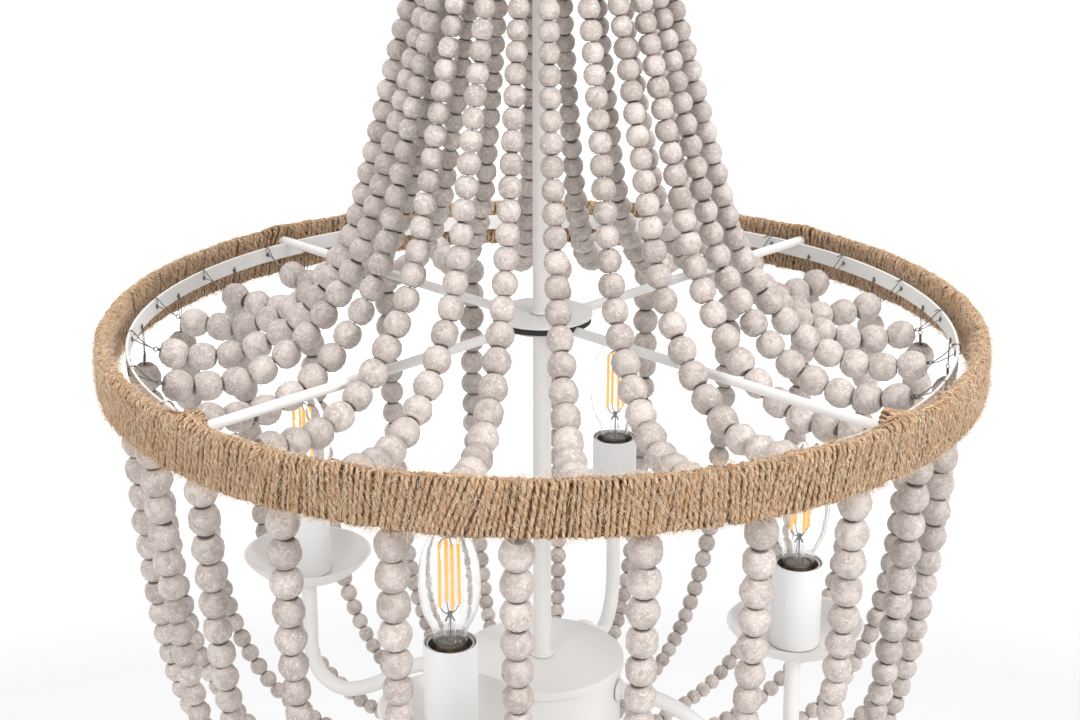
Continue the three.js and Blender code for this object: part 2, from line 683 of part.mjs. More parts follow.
// Candle bulb: contact, screw shell, neck and glass, turned as one solid
function bulbGeometry() {
  const rim = -LAMP_RIM_DEPTH;
  const neckBottom = rim - BULB_NECK_DEPTH;
  const shellTop = neckBottom - BULB_TAPER;
  const shellBottom = shellTop - BULB_SHELL_LENGTH;
  const profile = [
    [0, shellBottom - BULB_TIP_RADIUS],
    [BULB_SHELL_RADIUS / 2, shellBottom - BULB_TIP_RADIUS],
    [BULB_SHELL_RADIUS, shellBottom],
    [BULB_SHELL_RADIUS, shellTop],
    [BULB_NECK_RADIUS, neckBottom],
    [BULB_NECK_RADIUS, rim],
  ];
  for (const [wide, high] of BULB_OUTLINE_SHARES) {
    profile.push([BULB_RADIUS * wide, rim + BULB_HEIGHT * high]);
  }
  profile.push([BULB_TIP_RADIUS, rim + BULB_HEIGHT], [0, rim + BULB_HEIGHT]);
  return turned(profile, SMALL_SEGMENTS);
}

function upperBeadDiameter(share) {
  return TOP_BEAD_DIAMETER + (BAND_BEAD_DIAMETER - TOP_BEAD_DIAMETER) * share ** UPPER_GRADE_SHARE;
}

function lowerBeadDiameter(share) {
  const fade = THREE.MathUtils.smoothstep(share, 0, LOWER_GRADE_END_SHARE);
  return BAND_BEAD_DIAMETER + (TIP_BEAD_DIAMETER - BAND_BEAD_DIAMETER) * fade;
}

// Beads threaded one after another along a curve, as [distance, diameter]
function threadBeads(curve, diameterAt) {
  const length = curve.getLength();
  const beads = [];
  let reached = 0;
  while (reached < length) {
    const diameter = diameterAt(reached / length);
    const pitch = diameter * BEAD_PITCH_SHARE;
    if (reached + pitch > length) break;
    beads.push([(reached + pitch / 2) / length, diameter]);
    reached += pitch;
  }
  return beads;
}

// Sections of one strand from the start of its curve to the end
function strandSections(curve, diameterAt) {
  const beads = threadBeads(curve, diameterAt);
  const last = beads.length - 1;
  const sections = [[curve.getPointAt(0), (diameterAt(0) / 2) * BODY_END_SHARE]];
  for (let i = 0; i <= last; i += 1) {
    const keep = i % BEADS_PER_SECTION === 0 || i === last;
    if (keep) sections.push([curve.getPointAt(beads[i][0]), (beads[i][1] / 2) * BODY_WIDTH_SHARE]);
  }
  sections.push([curve.getPointAt(1), (diameterAt(1) / 2) * BODY_END_SHARE]);
  return sections;
}

// The wire from above a plate, down through its hole
function wireThroughPlate(radius, angle, plateZ) {
  const over = plateZ + PLATE_THICKNESS + SEAT_GAP + WIRE_RADIUS;
  return [over, plateZ - WIRE_BEND].map((z) => [at(radius, angle, z), WIRE_RADIUS]);
}

function upperSections(angle) {
  const wires = TOP_WIRE_RADIUS;
  const reach = BAND_INNER_RADIUS - wires;
  const foot = RING_Z + UPPER_WIRE_RISE;
  const rise = TOP_PLATE_Z - foot;
  const points = UPPER_CURVE_SHARES.map(([out, up]) => at(wires + reach * out, angle, foot + rise * up));
  const sections = strandSections(new THREE.CatmullRomCurve3(points), upperBeadDiameter);
  const end = at(flatRadius(BAND_INNER_RADIUS, RING_SEGMENTS) - SEAT_GAP, angle, foot);
  const hook = points[points.length - 1].clone().lerp(end, HOOK_SHARE);
  sections.push([hook, WIRE_RADIUS], [end, WIRE_RADIUS]);
  return [...wireThroughPlate(wires, angle, TOP_PLATE_Z), ...sections];
}

function lowerSections(angle) {
  const wires = BOTTOM_WIRE_RADIUS;
  const reach = BAND_INNER_RADIUS - wires;
  const head = RING_Z - BAND_BOTTOM - SEAT_GAP;
  const drop = head - BOTTOM_PLATE_Z;
  const points = LOWER_CURVE_SHARES.map(([out, down]) => at(wires + reach * out, angle, head - drop * down));
  const sections = strandSections(new THREE.CatmullRomCurve3(points), lowerBeadDiameter);
  sections.unshift([at(BAND_INNER_RADIUS, angle, head), WIRE_RADIUS]);
  return [...wireThroughPlate(wires, angle, BOTTOM_PLATE_Z), ...sections.reverse()];
}

// Two neighbouring strands on one wire that runs through both of their holes and over the plate
function strandPair(sectionsAt, firstAngle, index) {
  const step = (Math.PI * 2) / STRAND_COUNT;
  const angle = firstAngle + index * 2 * step;
  const near = sectionsAt(angle);
  const far = sectionsAt(angle + step);
  return lofted([...near.reverse(), ...far], STRAND_SIDES, false);
}

addPiece(chandelier, 'ceiling_bracket', bracketGeometry(), STEEL);
addPiece(chandelier, 'canopy', canopyGeometry(), PAINT);
addPiece(chandelier, 'canopy_loop', canopyLoopGeometry(), PAINT);
addPiece(chandelier, 'chain_link', linkGeometry(), PAINT);
addPiece(chandelier, 'fixture_loop', fixtureLoopGeometry(), PAINT);
addPiece(chandelier, 'centre_rod', rodGeometry(), PAINT);

const upperPlate = plateGeometry(TOP_WIRE_RADIUS, FIRST_UPPER_ANGLE);
addPiece(chandelier, 'top_plate', upperPlate, PAINT).position.z = TOP_PLATE_Z;
const lowerPlate = plateGeometry(BOTTOM_WIRE_RADIUS, FIRST_LOWER_ANGLE);
addPiece(chandelier, 'bottom_plate', lowerPlate, PAINT).position.z = BOTTOM_PLATE_Z;
addPiece(chandelier, 'bottom_knob', knobGeometry(), PAINT);

const capBottom = RING_Z + CAP_BOTTOM;
const cap = turnedRing(BORE_RADIUS, CAP_RADIUS, capBottom, capBottom + CAP_THICKNESS, ROUND_SEGMENTS);
addPiece(chandelier, 'hub_cap', cap, PAINT);
addPiece(chandelier, 'hub_gasket', gasketGeometry(), RUBBER);
addPiece(chandelier, 'spoke_frame', spokeFrameGeometry(), PAINT);
addPiece(chandelier, 'inner_band', bandGeometry(), PAINT);
addPiece(chandelier, 'jute_ring', woundRingGeometry(), TWINE);
addPiece(chandelier, 'box_lid', lidGeometry(), PAINT);
addPiece(chandelier, 'arm_box', boxGeometry(), PAINT);

for (let i = 0; i < LAMP_COUNT; i += 1) {
  const lamp = new THREE.Group();
  lamp.rotation.z = FIRST_LAMP_ANGLE + (i / LAMP_COUNT) * Math.PI * 2;
  lamp.position.z = RING_Z;
  addPiece(lamp, `arm_${i + 1}`, armGeometry(), PAINT);
  const candle = new THREE.Group();
  candle.position.y = -LAMP_RADIUS;
  addPiece(candle, `drip_pan_${i + 1}`, panGeometry(), PAINT);
  addPiece(candle, `lamp_holder_${i + 1}`, holderGeometry(), PAINT);
  addPiece(candle, `candle_sleeve_${i + 1}`, sleeveGeometry(), PAINT);
  addPiece(candle, `bulb_${i + 1}`, bulbGeometry(), GLASS);
  lamp.add(candle);
  chandelier.add(lamp);
}

for (let i = 0; i < PAIR_COUNT; i += 1) {
  addPiece(chandelier, `upper_strands_${i + 1}`, strandPair(upperSections, FIRST_UPPER_ANGLE, i), WOOD);
  addPiece(chandelier, `lower_strands_${i + 1}`, strandPair(lowerSections, FIRST_LOWER_ANGLE, i), WOOD);
}

export default chandelier;
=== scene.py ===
import math

import bmesh
import bpy
import numpy as np
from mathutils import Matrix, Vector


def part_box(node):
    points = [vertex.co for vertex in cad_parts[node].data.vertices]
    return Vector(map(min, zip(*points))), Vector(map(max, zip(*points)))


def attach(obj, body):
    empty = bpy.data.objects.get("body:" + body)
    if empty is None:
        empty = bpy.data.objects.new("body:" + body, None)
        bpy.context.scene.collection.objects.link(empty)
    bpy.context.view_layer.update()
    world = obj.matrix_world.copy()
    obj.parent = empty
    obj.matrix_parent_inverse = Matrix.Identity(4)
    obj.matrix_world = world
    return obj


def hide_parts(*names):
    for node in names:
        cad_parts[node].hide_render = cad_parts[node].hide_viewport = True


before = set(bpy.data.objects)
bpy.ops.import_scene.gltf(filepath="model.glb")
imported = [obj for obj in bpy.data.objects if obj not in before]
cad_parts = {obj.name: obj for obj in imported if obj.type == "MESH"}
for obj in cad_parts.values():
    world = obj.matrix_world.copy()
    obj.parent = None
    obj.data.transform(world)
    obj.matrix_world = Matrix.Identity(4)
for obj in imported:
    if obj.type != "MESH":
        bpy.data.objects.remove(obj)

# Lengths are in metres, and a size in millimetres is written as a number times MM
MM = 0.001
TURN = 2 * math.pi
UP = np.array([0.0, 0.0, 1.0])
SEED = 11
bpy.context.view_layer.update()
chance = np.random.default_rng(SEED)


def middle_of(node):
    """The middle of a node's box."""
    low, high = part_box(node)
    return (low + high) / 2


# Places and sizes that several pieces share
GAP = 0.3 * MM
RING_Z = middle_of("jute_ring").z
RING_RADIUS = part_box("jute_ring")[1].x
RING_HALF_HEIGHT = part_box("jute_ring")[1].z - RING_Z
RING_THICKNESS = 9 * MM
BAND_THICKNESS = 1.6 * MM
HOOK_ROOM = 0.4 * MM
BAND_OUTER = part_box("inner_band")[1].x
BAND_INNER = BAND_OUTER - BAND_THICKNESS
BAND_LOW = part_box("inner_band")[0].z
BAND_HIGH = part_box("inner_band")[1].z - HOOK_ROOM
ROD_RADIUS = 5.4 * MM
BORE = ROD_RADIUS + GAP
LAMP_COUNT = 4
PAIR_COUNT = 12
STRAND_STEP = TURN / (PAIR_COUNT * 2)
FIRST_UPPER_ANGLE = math.radians(4.5)
FIRST_LOWER_ANGLE = math.radians(-3)
FIRST_SPOKE_ANGLE = math.radians(45)

# Camera: the photograph's view, found from the ring, the hub and the bulbs
CAMERA_DISTANCE = 1074.1 * MM
CAMERA_ABOVE_RING = 363.4 * MM
CAMERA_SIDE = -1.25 * MM
CAMERA_PITCH = math.radians(19.389)
CAMERA_LENS = 66.21
CAMERA_SENSOR = 36


def make_camera():
    data = bpy.data.cameras.new("photo_camera")
    data.lens = CAMERA_LENS
    data.sensor_width = CAMERA_SENSOR
    camera = bpy.data.objects.new("photo_camera", data)
    camera.location = (CAMERA_SIDE, -CAMERA_DISTANCE, RING_Z + CAMERA_ABOVE_RING)
    camera.rotation_euler = (math.pi / 2 - CAMERA_PITCH, 0, 0)
    bpy.context.scene.collection.objects.link(camera)
    bpy.context.scene.camera = camera


# Surfaces
SEAM_GAP = 0.002 * MM
SHARP_ANGLE = 35.0


def grid_faces(rows, columns, wrap_rows=False, wrap_columns=True):
    """Quads over a grid of points kept row by row. Each joins a point to the next in its row and to those in
    the row after."""
    row = np.arange(rows if wrap_rows else rows - 1)
    column = np.arange(columns if wrap_columns else columns - 1)
    row, column = np.meshgrid(row, column, indexing="ij")
    next_row = (row + 1) % rows
    next_column = (column + 1) % columns
    corners = [
        row * columns + column,
        row * columns + next_column,
        next_row * columns + next_column,
        next_row * columns + column,
    ]
    return np.stack(corners, axis=-1).reshape(-1, 4)


def patch(points, wrap_rows=False, wrap_columns=True):
    """A grid of points of shape (rows, columns, 3) with the quads over it."""
    rows, columns = points.shape[:2]
    return points.reshape(-1, 3), grid_faces(rows, columns, wrap_rows, wrap_columns)


def copies(points, wrap_rows=False, wrap_columns=True):
    """Many grids of points of shape (copies, rows, columns, 3), with the same quads over each."""
    count, rows, columns = points.shape[:3]
    faces = grid_faces(rows, columns, wrap_rows, wrap_columns)
    starts = np.arange(count)[:, None, None] * rows * columns
    return points.reshape(-1, 3), (faces[None] + starts).reshape(-1, 4)


def make_mesh(name, patches, marks=None, merge=True, sharp=SHARP_ANGLE):
    """One mesh of several patches. With merge, poles and seams are closed and the faces turned outwards."""
    starts = np.cumsum([0] + [len(points) for points, _ in patches[:-1]])
    points = np.vstack([points for points, _ in patches])
    faces = np.vstack([faces + start for (_, faces), start in zip(patches, starts)])
    mesh = bpy.data.meshes.new(name)
    mesh.vertices.add(len(points))
    mesh.vertices.foreach_set("co", points.astype(np.float32).ravel())
    mesh.loops.add(faces.size)
    mesh.loops.foreach_set("vertex_index", faces.astype(np.int32).ravel())
    mesh.polygons.add(len(faces))
    mesh.polygons.foreach_set("loop_start", np.arange(0, faces.size, 4, dtype=np.int32))
    mesh.update(calc_edges=True)
    for mark, values in (marks or {}).items():
        kind, field = ("FLOAT", "value") if values.ndim == 1 else ("FLOAT_VECTOR", "vector")
        layer = mesh.attributes.new(mark, kind, "POINT")
        layer.data.foreach_set(field, values.astype(np.float32).ravel())
    if merge:
        work = bmesh.new()
        work.from_mesh(mesh)
        bmesh.ops.remove_doubles(work, verts=work.verts, dist=SEAM_GAP)
        bmesh.ops.recalc_face_normals(work, faces=work.faces)
        work.to_mesh(mesh)
        work.free()
    mesh.shade_smooth()
    mesh.set_sharp_from_angle(angle=math.radians(sharp))
    mesh.validate()
    return mesh


def add_piece(name, patches, finish, nodes=(), body="fixture", **mesh_options):
    """Puts patches into the scene as one piece. It shows a finish, rides on a body and stands for nodes."""
    material, slot = finish
    mesh = make_mesh(name, patches, **mesh_options)
    mesh.materials.append(material)
    piece = bpy.data.objects.new(name, mesh)
    bpy.context.scene.collection.objects.link(piece)
    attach(piece, body)
    if nodes:
        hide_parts(*nodes)
    return piece


def unit(vectors):
    return vectors / np.linalg.norm(vectors, axis=-1, keepdims=True)


def out_from(angle):
    """The direction straight out from the axis at an angle that runs from the front, -Y, to +X."""
    return np.stack([np.sin(angle), -np.cos(angle), np.zeros_like(angle)], axis=-1)


def aside_from(angle):
    """The direction of growing angle, square to out_from."""
    return np.stack([np.cos(angle), np.sin(angle), np.zeros_like(angle)], axis=-1)


def turned(profile, segments, centre=(0.0, 0.0)):
    """A profile of (radius, z) points turned about an upright axis: x = r sin a, y = -r cos a."""
    profile = np.asarray(profile, float)
    angle = np.arange(segments) / segments * TURN
    points = profile[:, None, :1] * out_from(angle)[None] + profile[:, None, 1:] * UP
    points[..., 0] += centre[0]
    points[..., 1] += centre[1]
    return points


def rounded(corners, radius, steps=4):
    """A closed outline with curved corners: each corner is cut back by the radius, or by under half of its
    shorter side, and a quadratic Bezier through the corner joins the two cuts."""
    corner = np.asarray(corners, float)
    before = np.roll(corner, 1, axis=0) - corner
    after = np.roll(corner, -1, axis=0) - corner
    before_length = np.linalg.norm(before, axis=1)
    after_length = np.linalg.norm(after, axis=1)
    longest_cut = 0.45 * np.minimum(before_length, after_length)
    cut = np.minimum(np.broadcast_to(radius, before_length.shape), longest_cut)
    start = corner + before * (cut / before_length)[:, None]
    end = corner + after * (cut / after_length)[:, None]
    t = np.linspace(0, 1, steps)[None, :, None]
    bend = (1 - t) ** 2 * start[:, None] + 2 * t * (1 - t) * corner[:, None] + t ** 2 * end[:, None]
    return bend.reshape(-1, 2)


def ring_section(inner, outer, low, high):
    """The four (radius, z) corners of a ring's section."""
    return [(inner, low), (outer, low), (outer, high), (inner, high)]


def ring(corners, easing, segments, centre=(0.0, 0.0), steps=4):
    """A closed profile of (radius, z) corners, its edges eased, turned about an upright axis."""
    return patch(turned(rounded(corners, easing, steps), segments, centre), wrap_rows=True)


def inner_face(outside, wall):
    """The inner side of a profile: each point moved square to the profile by the wall's thickness."""
    tangent = unit(np.gradient(outside, axis=0))
    return outside + np.column_stack([-tangent[:, 1], tangent[:, 0]]) * wall


def smooth_curve(points, per_span=16):
    """A centripetal Catmull-Rom curve: each span is a cubic whose end slopes come from the square roots of
    the chord lengths beside it."""
    p = np.asarray(points, float)
    p = np.vstack([2 * p[0] - p[1], p, 2 * p[-1] - p[-2]])
    chord = np.sqrt(np.linalg.norm(np.diff(p, axis=0), axis=1))
    c0, c1, c2 = chord[:-2, None], chord[1:-1, None], chord[2:, None]
    p0, p1, p2, p3 = p[:-3], p[1:-2], p[2:-1], p[3:]
    leave = ((p1 - p0) / c0 - (p2 - p0) / (c0 + c1) + (p2 - p1) / c1) * c1
    arrive = ((p2 - p1) / c1 - (p3 - p1) / (c1 + c2) + (p3 - p2) / c2) * c1
    t = np.linspace(0, 1, per_span, endpoint=False)[:, None, None]
    curve = (2 * t ** 3 - 3 * t ** 2 + 1) * p1 + (t ** 3 - 2 * t ** 2 + t) * leave
    curve = curve + (3 * t ** 2 - 2 * t ** 3) * p2 + (t ** 3 - t ** 2) * arrive
    return np.vstack([curve.transpose(1, 0, 2).reshape(-1, p.shape[1]), p[-2]])


def scaled_curve(shares, start, reach, per_span):
    """A smooth (radius, z) curve through shares of a reach, counted from a start."""
    points = [(start[0] + reach[0] * wide, start[1] + reach[1] * tall) for wide, tall in shares]
    return smooth_curve(points, per_span)


def distances(path):
    """The distance along a path at each of its points."""
    return np.append(0, np.cumsum(np.linalg.norm(np.diff(path, axis=0), axis=1)))


def along(path, reached, where):
    """Points of a path at given distances."""
    return np.stack([np.interp(where, reached, path[:, k]) for k in range(path.shape[1])], axis=-1)


def evenly(path, count):
    """A path's line again, as a number of points at even distances."""
    reached = distances(path)
    return along(path, reached, np.linspace(0, reached[-1], count))


def tube(path, radius, sides, reference, closed=False):
    """A round tube along a path: circles square to the path, their frame taken from a direction that the path
    never follows. An open tube's ends are drawn in to a point."""
    path = np.asarray(path, float)
    size = np.full(len(path), radius)
    if closed:
        tangent = np.roll(path, -1, axis=0) - np.roll(path, 1, axis=0)
    else:
        tangent = np.gradient(path, axis=0)
        path = np.vstack([path[:1], path, path[-1:]])
        tangent = np.vstack([tangent[:1], tangent, tangent[-1:]])
        size = np.pad(size, 1)
    tangent = unit(tangent)
    side = unit(np.cross(tangent, reference))
    over = np.cross(side, tangent)
    turn = np.arange(sides) / sides * TURN
    circle = side[:, None] * np.cos(turn)[None, :, None] + over[:, None] * np.sin(turn)[None, :, None]
    return patch(path[:, None] + circle * size[:, None, None], wrap_rows=closed)


# Materials
def srgb(colour):
    """An sRGB hex colour as linear RGBA: above 0.04045 a channel c becomes ((c + 0.055) / 1.055) ** 2.4."""
    channels = [int(colour[i:i + 2], 16) / 255 for i in (1, 3, 5)]
    linear = [((c + 0.055) / 1.055) ** 2.4 if c > 0.04045 else c / 12.92 for c in channels]
    return (*linear, 1.0)


def feed(tree, node, inputs):
    """Fills a node's inputs. One given as a socket is linked, and any other is set."""
    for key, value in inputs.items():
        if isinstance(value, bpy.types.NodeSocket):
            tree.links.new(value, node.inputs[key])
        else:
            node.inputs[key].default_value = value


def add_node(tree, kind, inputs=None, **settings):
    """Adds a node with its settings, inputs and links."""
    new = tree.nodes.new(kind)
    for name, value in settings.items():
        setattr(new, name, value)
    feed(tree, new, inputs or {})
    return new


def new_material(name):
    material = bpy.data.materials.new(name)
    material.use_nodes = True
    tree = material.node_tree
    return material, tree, tree.nodes["Principled BSDF"]


def speckled(name, *patterns):
    """A new material with a noise on Object coordinates for each pattern of (spots to the metre, detail)."""
    material, tree, surface = new_material(name)
    place = add_node(tree, "ShaderNodeTexCoord").outputs["Object"]
    noises = []
    for scale, detail in patterns:
        noise = add_node(tree, "ShaderNodeTexNoise", {"Vector": place, "Scale": scale, "Detail": detail})
        noises.append(noise.outputs["Fac"])
    return material, tree, surface, *noises


def layered(tree, ground, layers):
    """Colours laid over a ground in turn. A layer (value, start, full, colour) begins to show where the value
    reaches its start and covers at its full, with a smooth step between. Without these two the value itself
    is the layer's share."""
    colour = srgb(ground)
    for value, start, full, over in layers:
        share = value
        if start is not None:
            limits = {"Value": value, "From Min": start, "From Max": full}
            step = add_node(tree, "ShaderNodeMapRange", limits, interpolation_type="SMOOTHSTEP")
            share = step.outputs["Result"]
        mix = add_node(tree, "ShaderNodeMix", {0: share, 6: colour, 7: srgb(over)}, data_type="RGBA")
        colour = mix.outputs[2]
    return colour


WOOD_DARK = "#857B75"
WOOD_SHADE = "#ACA29C"
WOOD_MIDDLE = "#C5BCB6"
WOOD_LIGHT = "#D4CCC7"
WOOD_WHITE = "#F4F1EE"
WOOD_TINTS = ("#E4E0DE", "#FFFDFC")

# Noises in a bead's millimetres: clouds 8 mm across, rubbed patches 3.3 mm, grain 1 mm and curls 2.4 mm
WOOD_NOISES = [
    {"Scale": 0.13, "Detail": 2.0, "Roughness": 0.5, "Distortion": 0.8},
    {"Scale": 0.3, "Detail": 4.0, "Roughness": 0.6, "Distortion": 2.4},
    {"Scale": 0.95, "Detail": 3.0, "Roughness": 0.6, "Distortion": 1.0},
    {"Scale": 0.42, "Detail": 2.0, "Roughness": 0.6, "Distortion": 3.0},
]
TURNING_RINGS = (0.16, 0.16, 1.7)
SCRATCH_WIDTH = 0.034


def washed_wood():
    """Whitewashed turned wood: a thin chalky wash over grey-brown beads, rubbed so that it is cloudy, with
    fine turning rings 0.6 mm apart round the hole's axis and short scratches where the wash is thick. A
    scratch lies where the curls' noise is near its middle value. A satin lacquer over it, so highlights
    break up on the scratches. IOR 1.5, roughness 0.32 to 0.5."""
    material, tree, surface = new_material("whitewashed_turned_wood")
    place = add_node(tree, "ShaderNodeAttribute", attribute_name="bead_place").outputs["Vector"]
    tone = add_node(tree, "ShaderNodeAttribute", attribute_name="bead_tone").outputs["Fac"]
    # How near the bead's flat end a point lies, for painted shade in the gaps where beads meet
    end = add_node(tree, "ShaderNodeAttribute", attribute_name="bead_end_shade").outputs["Fac"]
    clouds, patches, grain, curls = [
        add_node(tree, "ShaderNodeTexNoise", {"Vector": place, **noise}).outputs["Fac"]
        for noise in WOOD_NOISES]
    stretch = add_node(tree, "ShaderNodeMapping", {"Vector": place, "Scale": TURNING_RINGS})
    rings = add_node(tree, "ShaderNodeTexNoise", {
        "Vector": stretch.outputs["Vector"], "Scale": 1.0, "Detail": 2.0, "Roughness": 0.6}).outputs["Fac"]
    off_line = add_node(tree, "ShaderNodeMath", {0: curls, 1: 0.5}, operation="SUBTRACT").outputs["Value"]
    off_line = add_node(tree, "ShaderNodeMath", {0: off_line}, operation="ABSOLUTE").outputs["Value"]
    line = add_node(tree, "ShaderNodeMapRange", {
        "Value": off_line, "From Min": 0.0, "From Max": SCRATCH_WIDTH, "To Min": 1.0, "To Max": 0.0})
    thick = add_node(tree, "ShaderNodeMapRange", {
        "Value": patches, "From Min": 0.46, "From Max": 0.57}, interpolation_type="SMOOTHSTEP")
    scratch = add_node(tree, "ShaderNodeMath", {
        0: line.outputs["Result"], 1: thick.outputs["Result"]}, operation="MULTIPLY").outputs["Value"]
    colour = layered(tree, WOOD_SHADE, [
        (clouds, 0.36, 0.64, WOOD_MIDDLE),
        (patches, 0.52, 0.7, WOOD_LIGHT),
        (rings, 0.6, 0.8, WOOD_LIGHT),
        (rings, 0.36, 0.26, WOOD_SHADE),
        (grain, 0.36, 0.24, WOOD_DARK),
        (scratch, None, None, WOOD_WHITE),
        # Painted shade: the flat ends and the hole's rim darkened, where neighbouring beads meet
        (end, 0.9, 0.99, WOOD_DARK),
    ])
    tint = layered(tree, WOOD_TINTS[0], [(tone, None, None, WOOD_TINTS[1])])
    tinted = add_node(tree, "ShaderNodeMix", {
        0: 1.0, 6: colour, 7: tint}, data_type="RGBA", blend_type="MULTIPLY")
    rough = add_node(tree, "ShaderNodeMapRange", {
        "Value": grain, "From Min": 0.3, "From Max": 0.7, "To Min": 0.32, "To Max": 0.5})
    height = add_node(tree, "ShaderNodeMath", {0: grain, 1: scratch}, operation="ADD").outputs["Value"]
    bump = add_node(tree, "ShaderNodeBump", {"Height": height, "Strength": 0.4, "Distance": 0.16 * MM})
    feed(tree, surface, {
        "Base Color": tinted.outputs[2], "Roughness": rough.outputs["Result"],
        "Normal": bump.outputs["Normal"]})
    return material


JUTE_DARK = "#7F644E"
JUTE_MIDDLE = "#C59C74"
JUTE_LIGHT = "#E0BE99"
JUTE_PALE = "#F3E1C9"
JUTE_RUST = "#B06A3E"
# Painted shade and dust for the grooves between plies and between turns
JUTE_GROOVE_SHADE = "#3C2C1F"

# Stretches along the twine, in millimetres: fibres 0.7 by 2.6 mm, and lengths of one shade 2.5 by 10 mm
FIBRE_STRETCH = (1.5, 1.5, 0.38)
SHADE_STRETCH = (0.4, 0.4, 0.1)


def jute_twine():
    """Jute twine: two plies of pale brown bast fibre twisted together, matt and hairy, so each turn shows
    slanting streaks from straw to brown, with painted shade and dust darkening the grooves between plies
    and between turns, and here and there a rusty or dark patch about 9 mm across. Roughness 0.9, IOR 1.5."""
    material, tree, surface = new_material("jute_twine")
    where = add_node(tree, "ShaderNodeTexCoord").outputs["Object"]
    stains = add_node(tree, "ShaderNodeTexNoise", {
        "Vector": where, "Scale": 110.0, "Detail": 4.0, "Roughness": 0.6}).outputs["Fac"]
    place = add_node(tree, "ShaderNodeAttribute", attribute_name="twine_place").outputs["Vector"]
    shade = add_node(tree, "ShaderNodeAttribute", attribute_name="twine_painted_shade").outputs["Fac"]
    stretch = add_node(tree, "ShaderNodeMapping", {"Vector": place, "Scale": FIBRE_STRETCH})
    fibres = add_node(tree, "ShaderNodeTexNoise", {
        "Vector": stretch.outputs["Vector"], "Scale": 1.0, "Detail": 5.0, "Roughness": 0.72}).outputs["Fac"]
    lengths = add_node(tree, "ShaderNodeMapping", {"Vector": place, "Scale": SHADE_STRETCH})
    shades = add_node(tree, "ShaderNodeTexNoise", {
        "Vector": lengths.outputs["Vector"], "Scale": 1.0, "Detail": 3.0, "Roughness": 0.6}).outputs["Fac"]
    colour = layered(tree, JUTE_DARK, [
        (fibres, 0.34, 0.6, JUTE_LIGHT),
        (shades, 0.46, 0.66, JUTE_MIDDLE),
        (fibres, 0.56, 0.68, JUTE_PALE),
        (stains, 0.62, 0.8, JUTE_RUST),
        (stains, 0.38, 0.24, JUTE_DARK),
        # Painted shade and dust in the grooves, as strong as the twine's painted-shade mark
        (shade, None, None, JUTE_GROOVE_SHADE),
    ])
    bump = add_node(tree, "ShaderNodeBump", {"Height": fibres, "Strength": 1.0, "Distance": 0.8 * MM})
    feed(tree, surface, {
        "Base Color": colour, "Normal": bump.outputs["Normal"], "Roughness": 0.9, "Specular IOR Level": 0.2})
    return material


def bast_fibre():
    """A single hair of jute: pale straw, matt, a little see-through at its edge in life, so kept light. Its
    colour changes over 1.2 mm. Roughness 0.7, IOR 1.5."""
    material, tree, surface = new_material("jute_fibre")
    place = add_node(tree, "ShaderNodeAttribute", attribute_name="twine_place").outputs["Vector"]
    vary = add_node(tree, "ShaderNodeTexNoise", {"Vector": place, "Scale": 0.8, "Detail": 1.0}).outputs["Fac"]
    feed(tree, surface, {
        "Base Color": layered(tree, JUTE_MIDDLE, [(vary, 0.35, 0.6, JUTE_PALE)]), "Roughness": 0.7})
    return material


def jute_core_painted_shade():
    """The ground of the ring seen in the gaps between turns, painted dark as shade: the same fibre in
    painted deep shade, with grain 1.7 mm across. Roughness 0.95, IOR 1.5."""
    material, tree, surface, grain = speckled("jute_core_painted_shade", (600.0, 3.0))
    feed(tree, surface, {
        "Base Color": layered(tree, "#4A3523", [(grain, None, None, "#6E5237")]), "Roughness": 0.95})
    return material


def white_paint(name, colour, roughness=0.42):
    """Satin powder coat on steel: near white, 3.5 percent darker in soft clouds 55 mm across, with the faint
    orange peel of a baked coat, about 1 mm across. IOR 1.5, roughness about 0.4."""
    material, tree, surface, cloud, peel = speckled(name, (18.0, 2.0), (900.0, 2.0))
    darker = tuple(channel * 0.965 for channel in srgb(colour)[:3]) + (1.0,)
    clouded = add_node(tree, "ShaderNodeMix", {0: cloud, 6: darker, 7: srgb(colour)}, data_type="RGBA")
    bump = add_node(tree, "ShaderNodeBump", {"Height": peel, "Strength": 0.12, "Distance": 0.08 * MM})
    rough = add_node(tree, "ShaderNodeMapRange", {
        "Value": cloud, "To Min": roughness - 0.04, "To Max": roughness + 0.06})
    feed(tree, surface, {
        "Base Color": clouded.outputs[2], "Normal": bump.outputs["Normal"],
        "Roughness": rough.outputs["Result"]})
    return material


def black_rubber():
    """Moulded black rubber: matt, with dust in spots 3 mm across. IOR 1.5, roughness about 0.7."""
    material, tree, surface, dust = speckled("black_rubber", (350.0, 4.0))
    bump = add_node(tree, "ShaderNodeBump", {"Height": dust, "Strength": 0.2, "Distance": 0.1 * MM})
    colour = layered(tree, "#0E0E0F", [(dust, None, None, "#232324")])
    feed(tree, surface, {"Base Color": colour, "Normal": bump.outputs["Normal"], "Roughness": 0.7})
    return material


def bare_metal(name, dark, light, roughness):
    """Drawn or plated steel: metallic, with faint cloudy dulling along it in spots 4.5 mm across."""
    material, tree, surface, cloud = speckled(name, (220.0, 3.0))
    rough = add_node(tree, "ShaderNodeMapRange", {
        "Value": cloud, "To Min": roughness - 0.06, "To Max": roughness + 0.08})
    colour = layered(tree, dark, [(cloud, None, None, light)])
    feed(tree, surface, {"Base Color": colour, "Roughness": rough.outputs["Result"], "Metallic": 1.0})
    return material


def moulded_plastic(name, dark, light, roughness=0.5):
    """Moulded thermoset plastic of a lamp holder or bulb base: satin, IOR 1.5, a faint mottle 6 mm across."""
    material, tree, surface, cloud = speckled(name, (160.0, 3.0))
    feed(tree, surface, {
        "Base Color": layered(tree, dark, [(cloud, None, None, light)]), "Roughness": roughness})
    return material


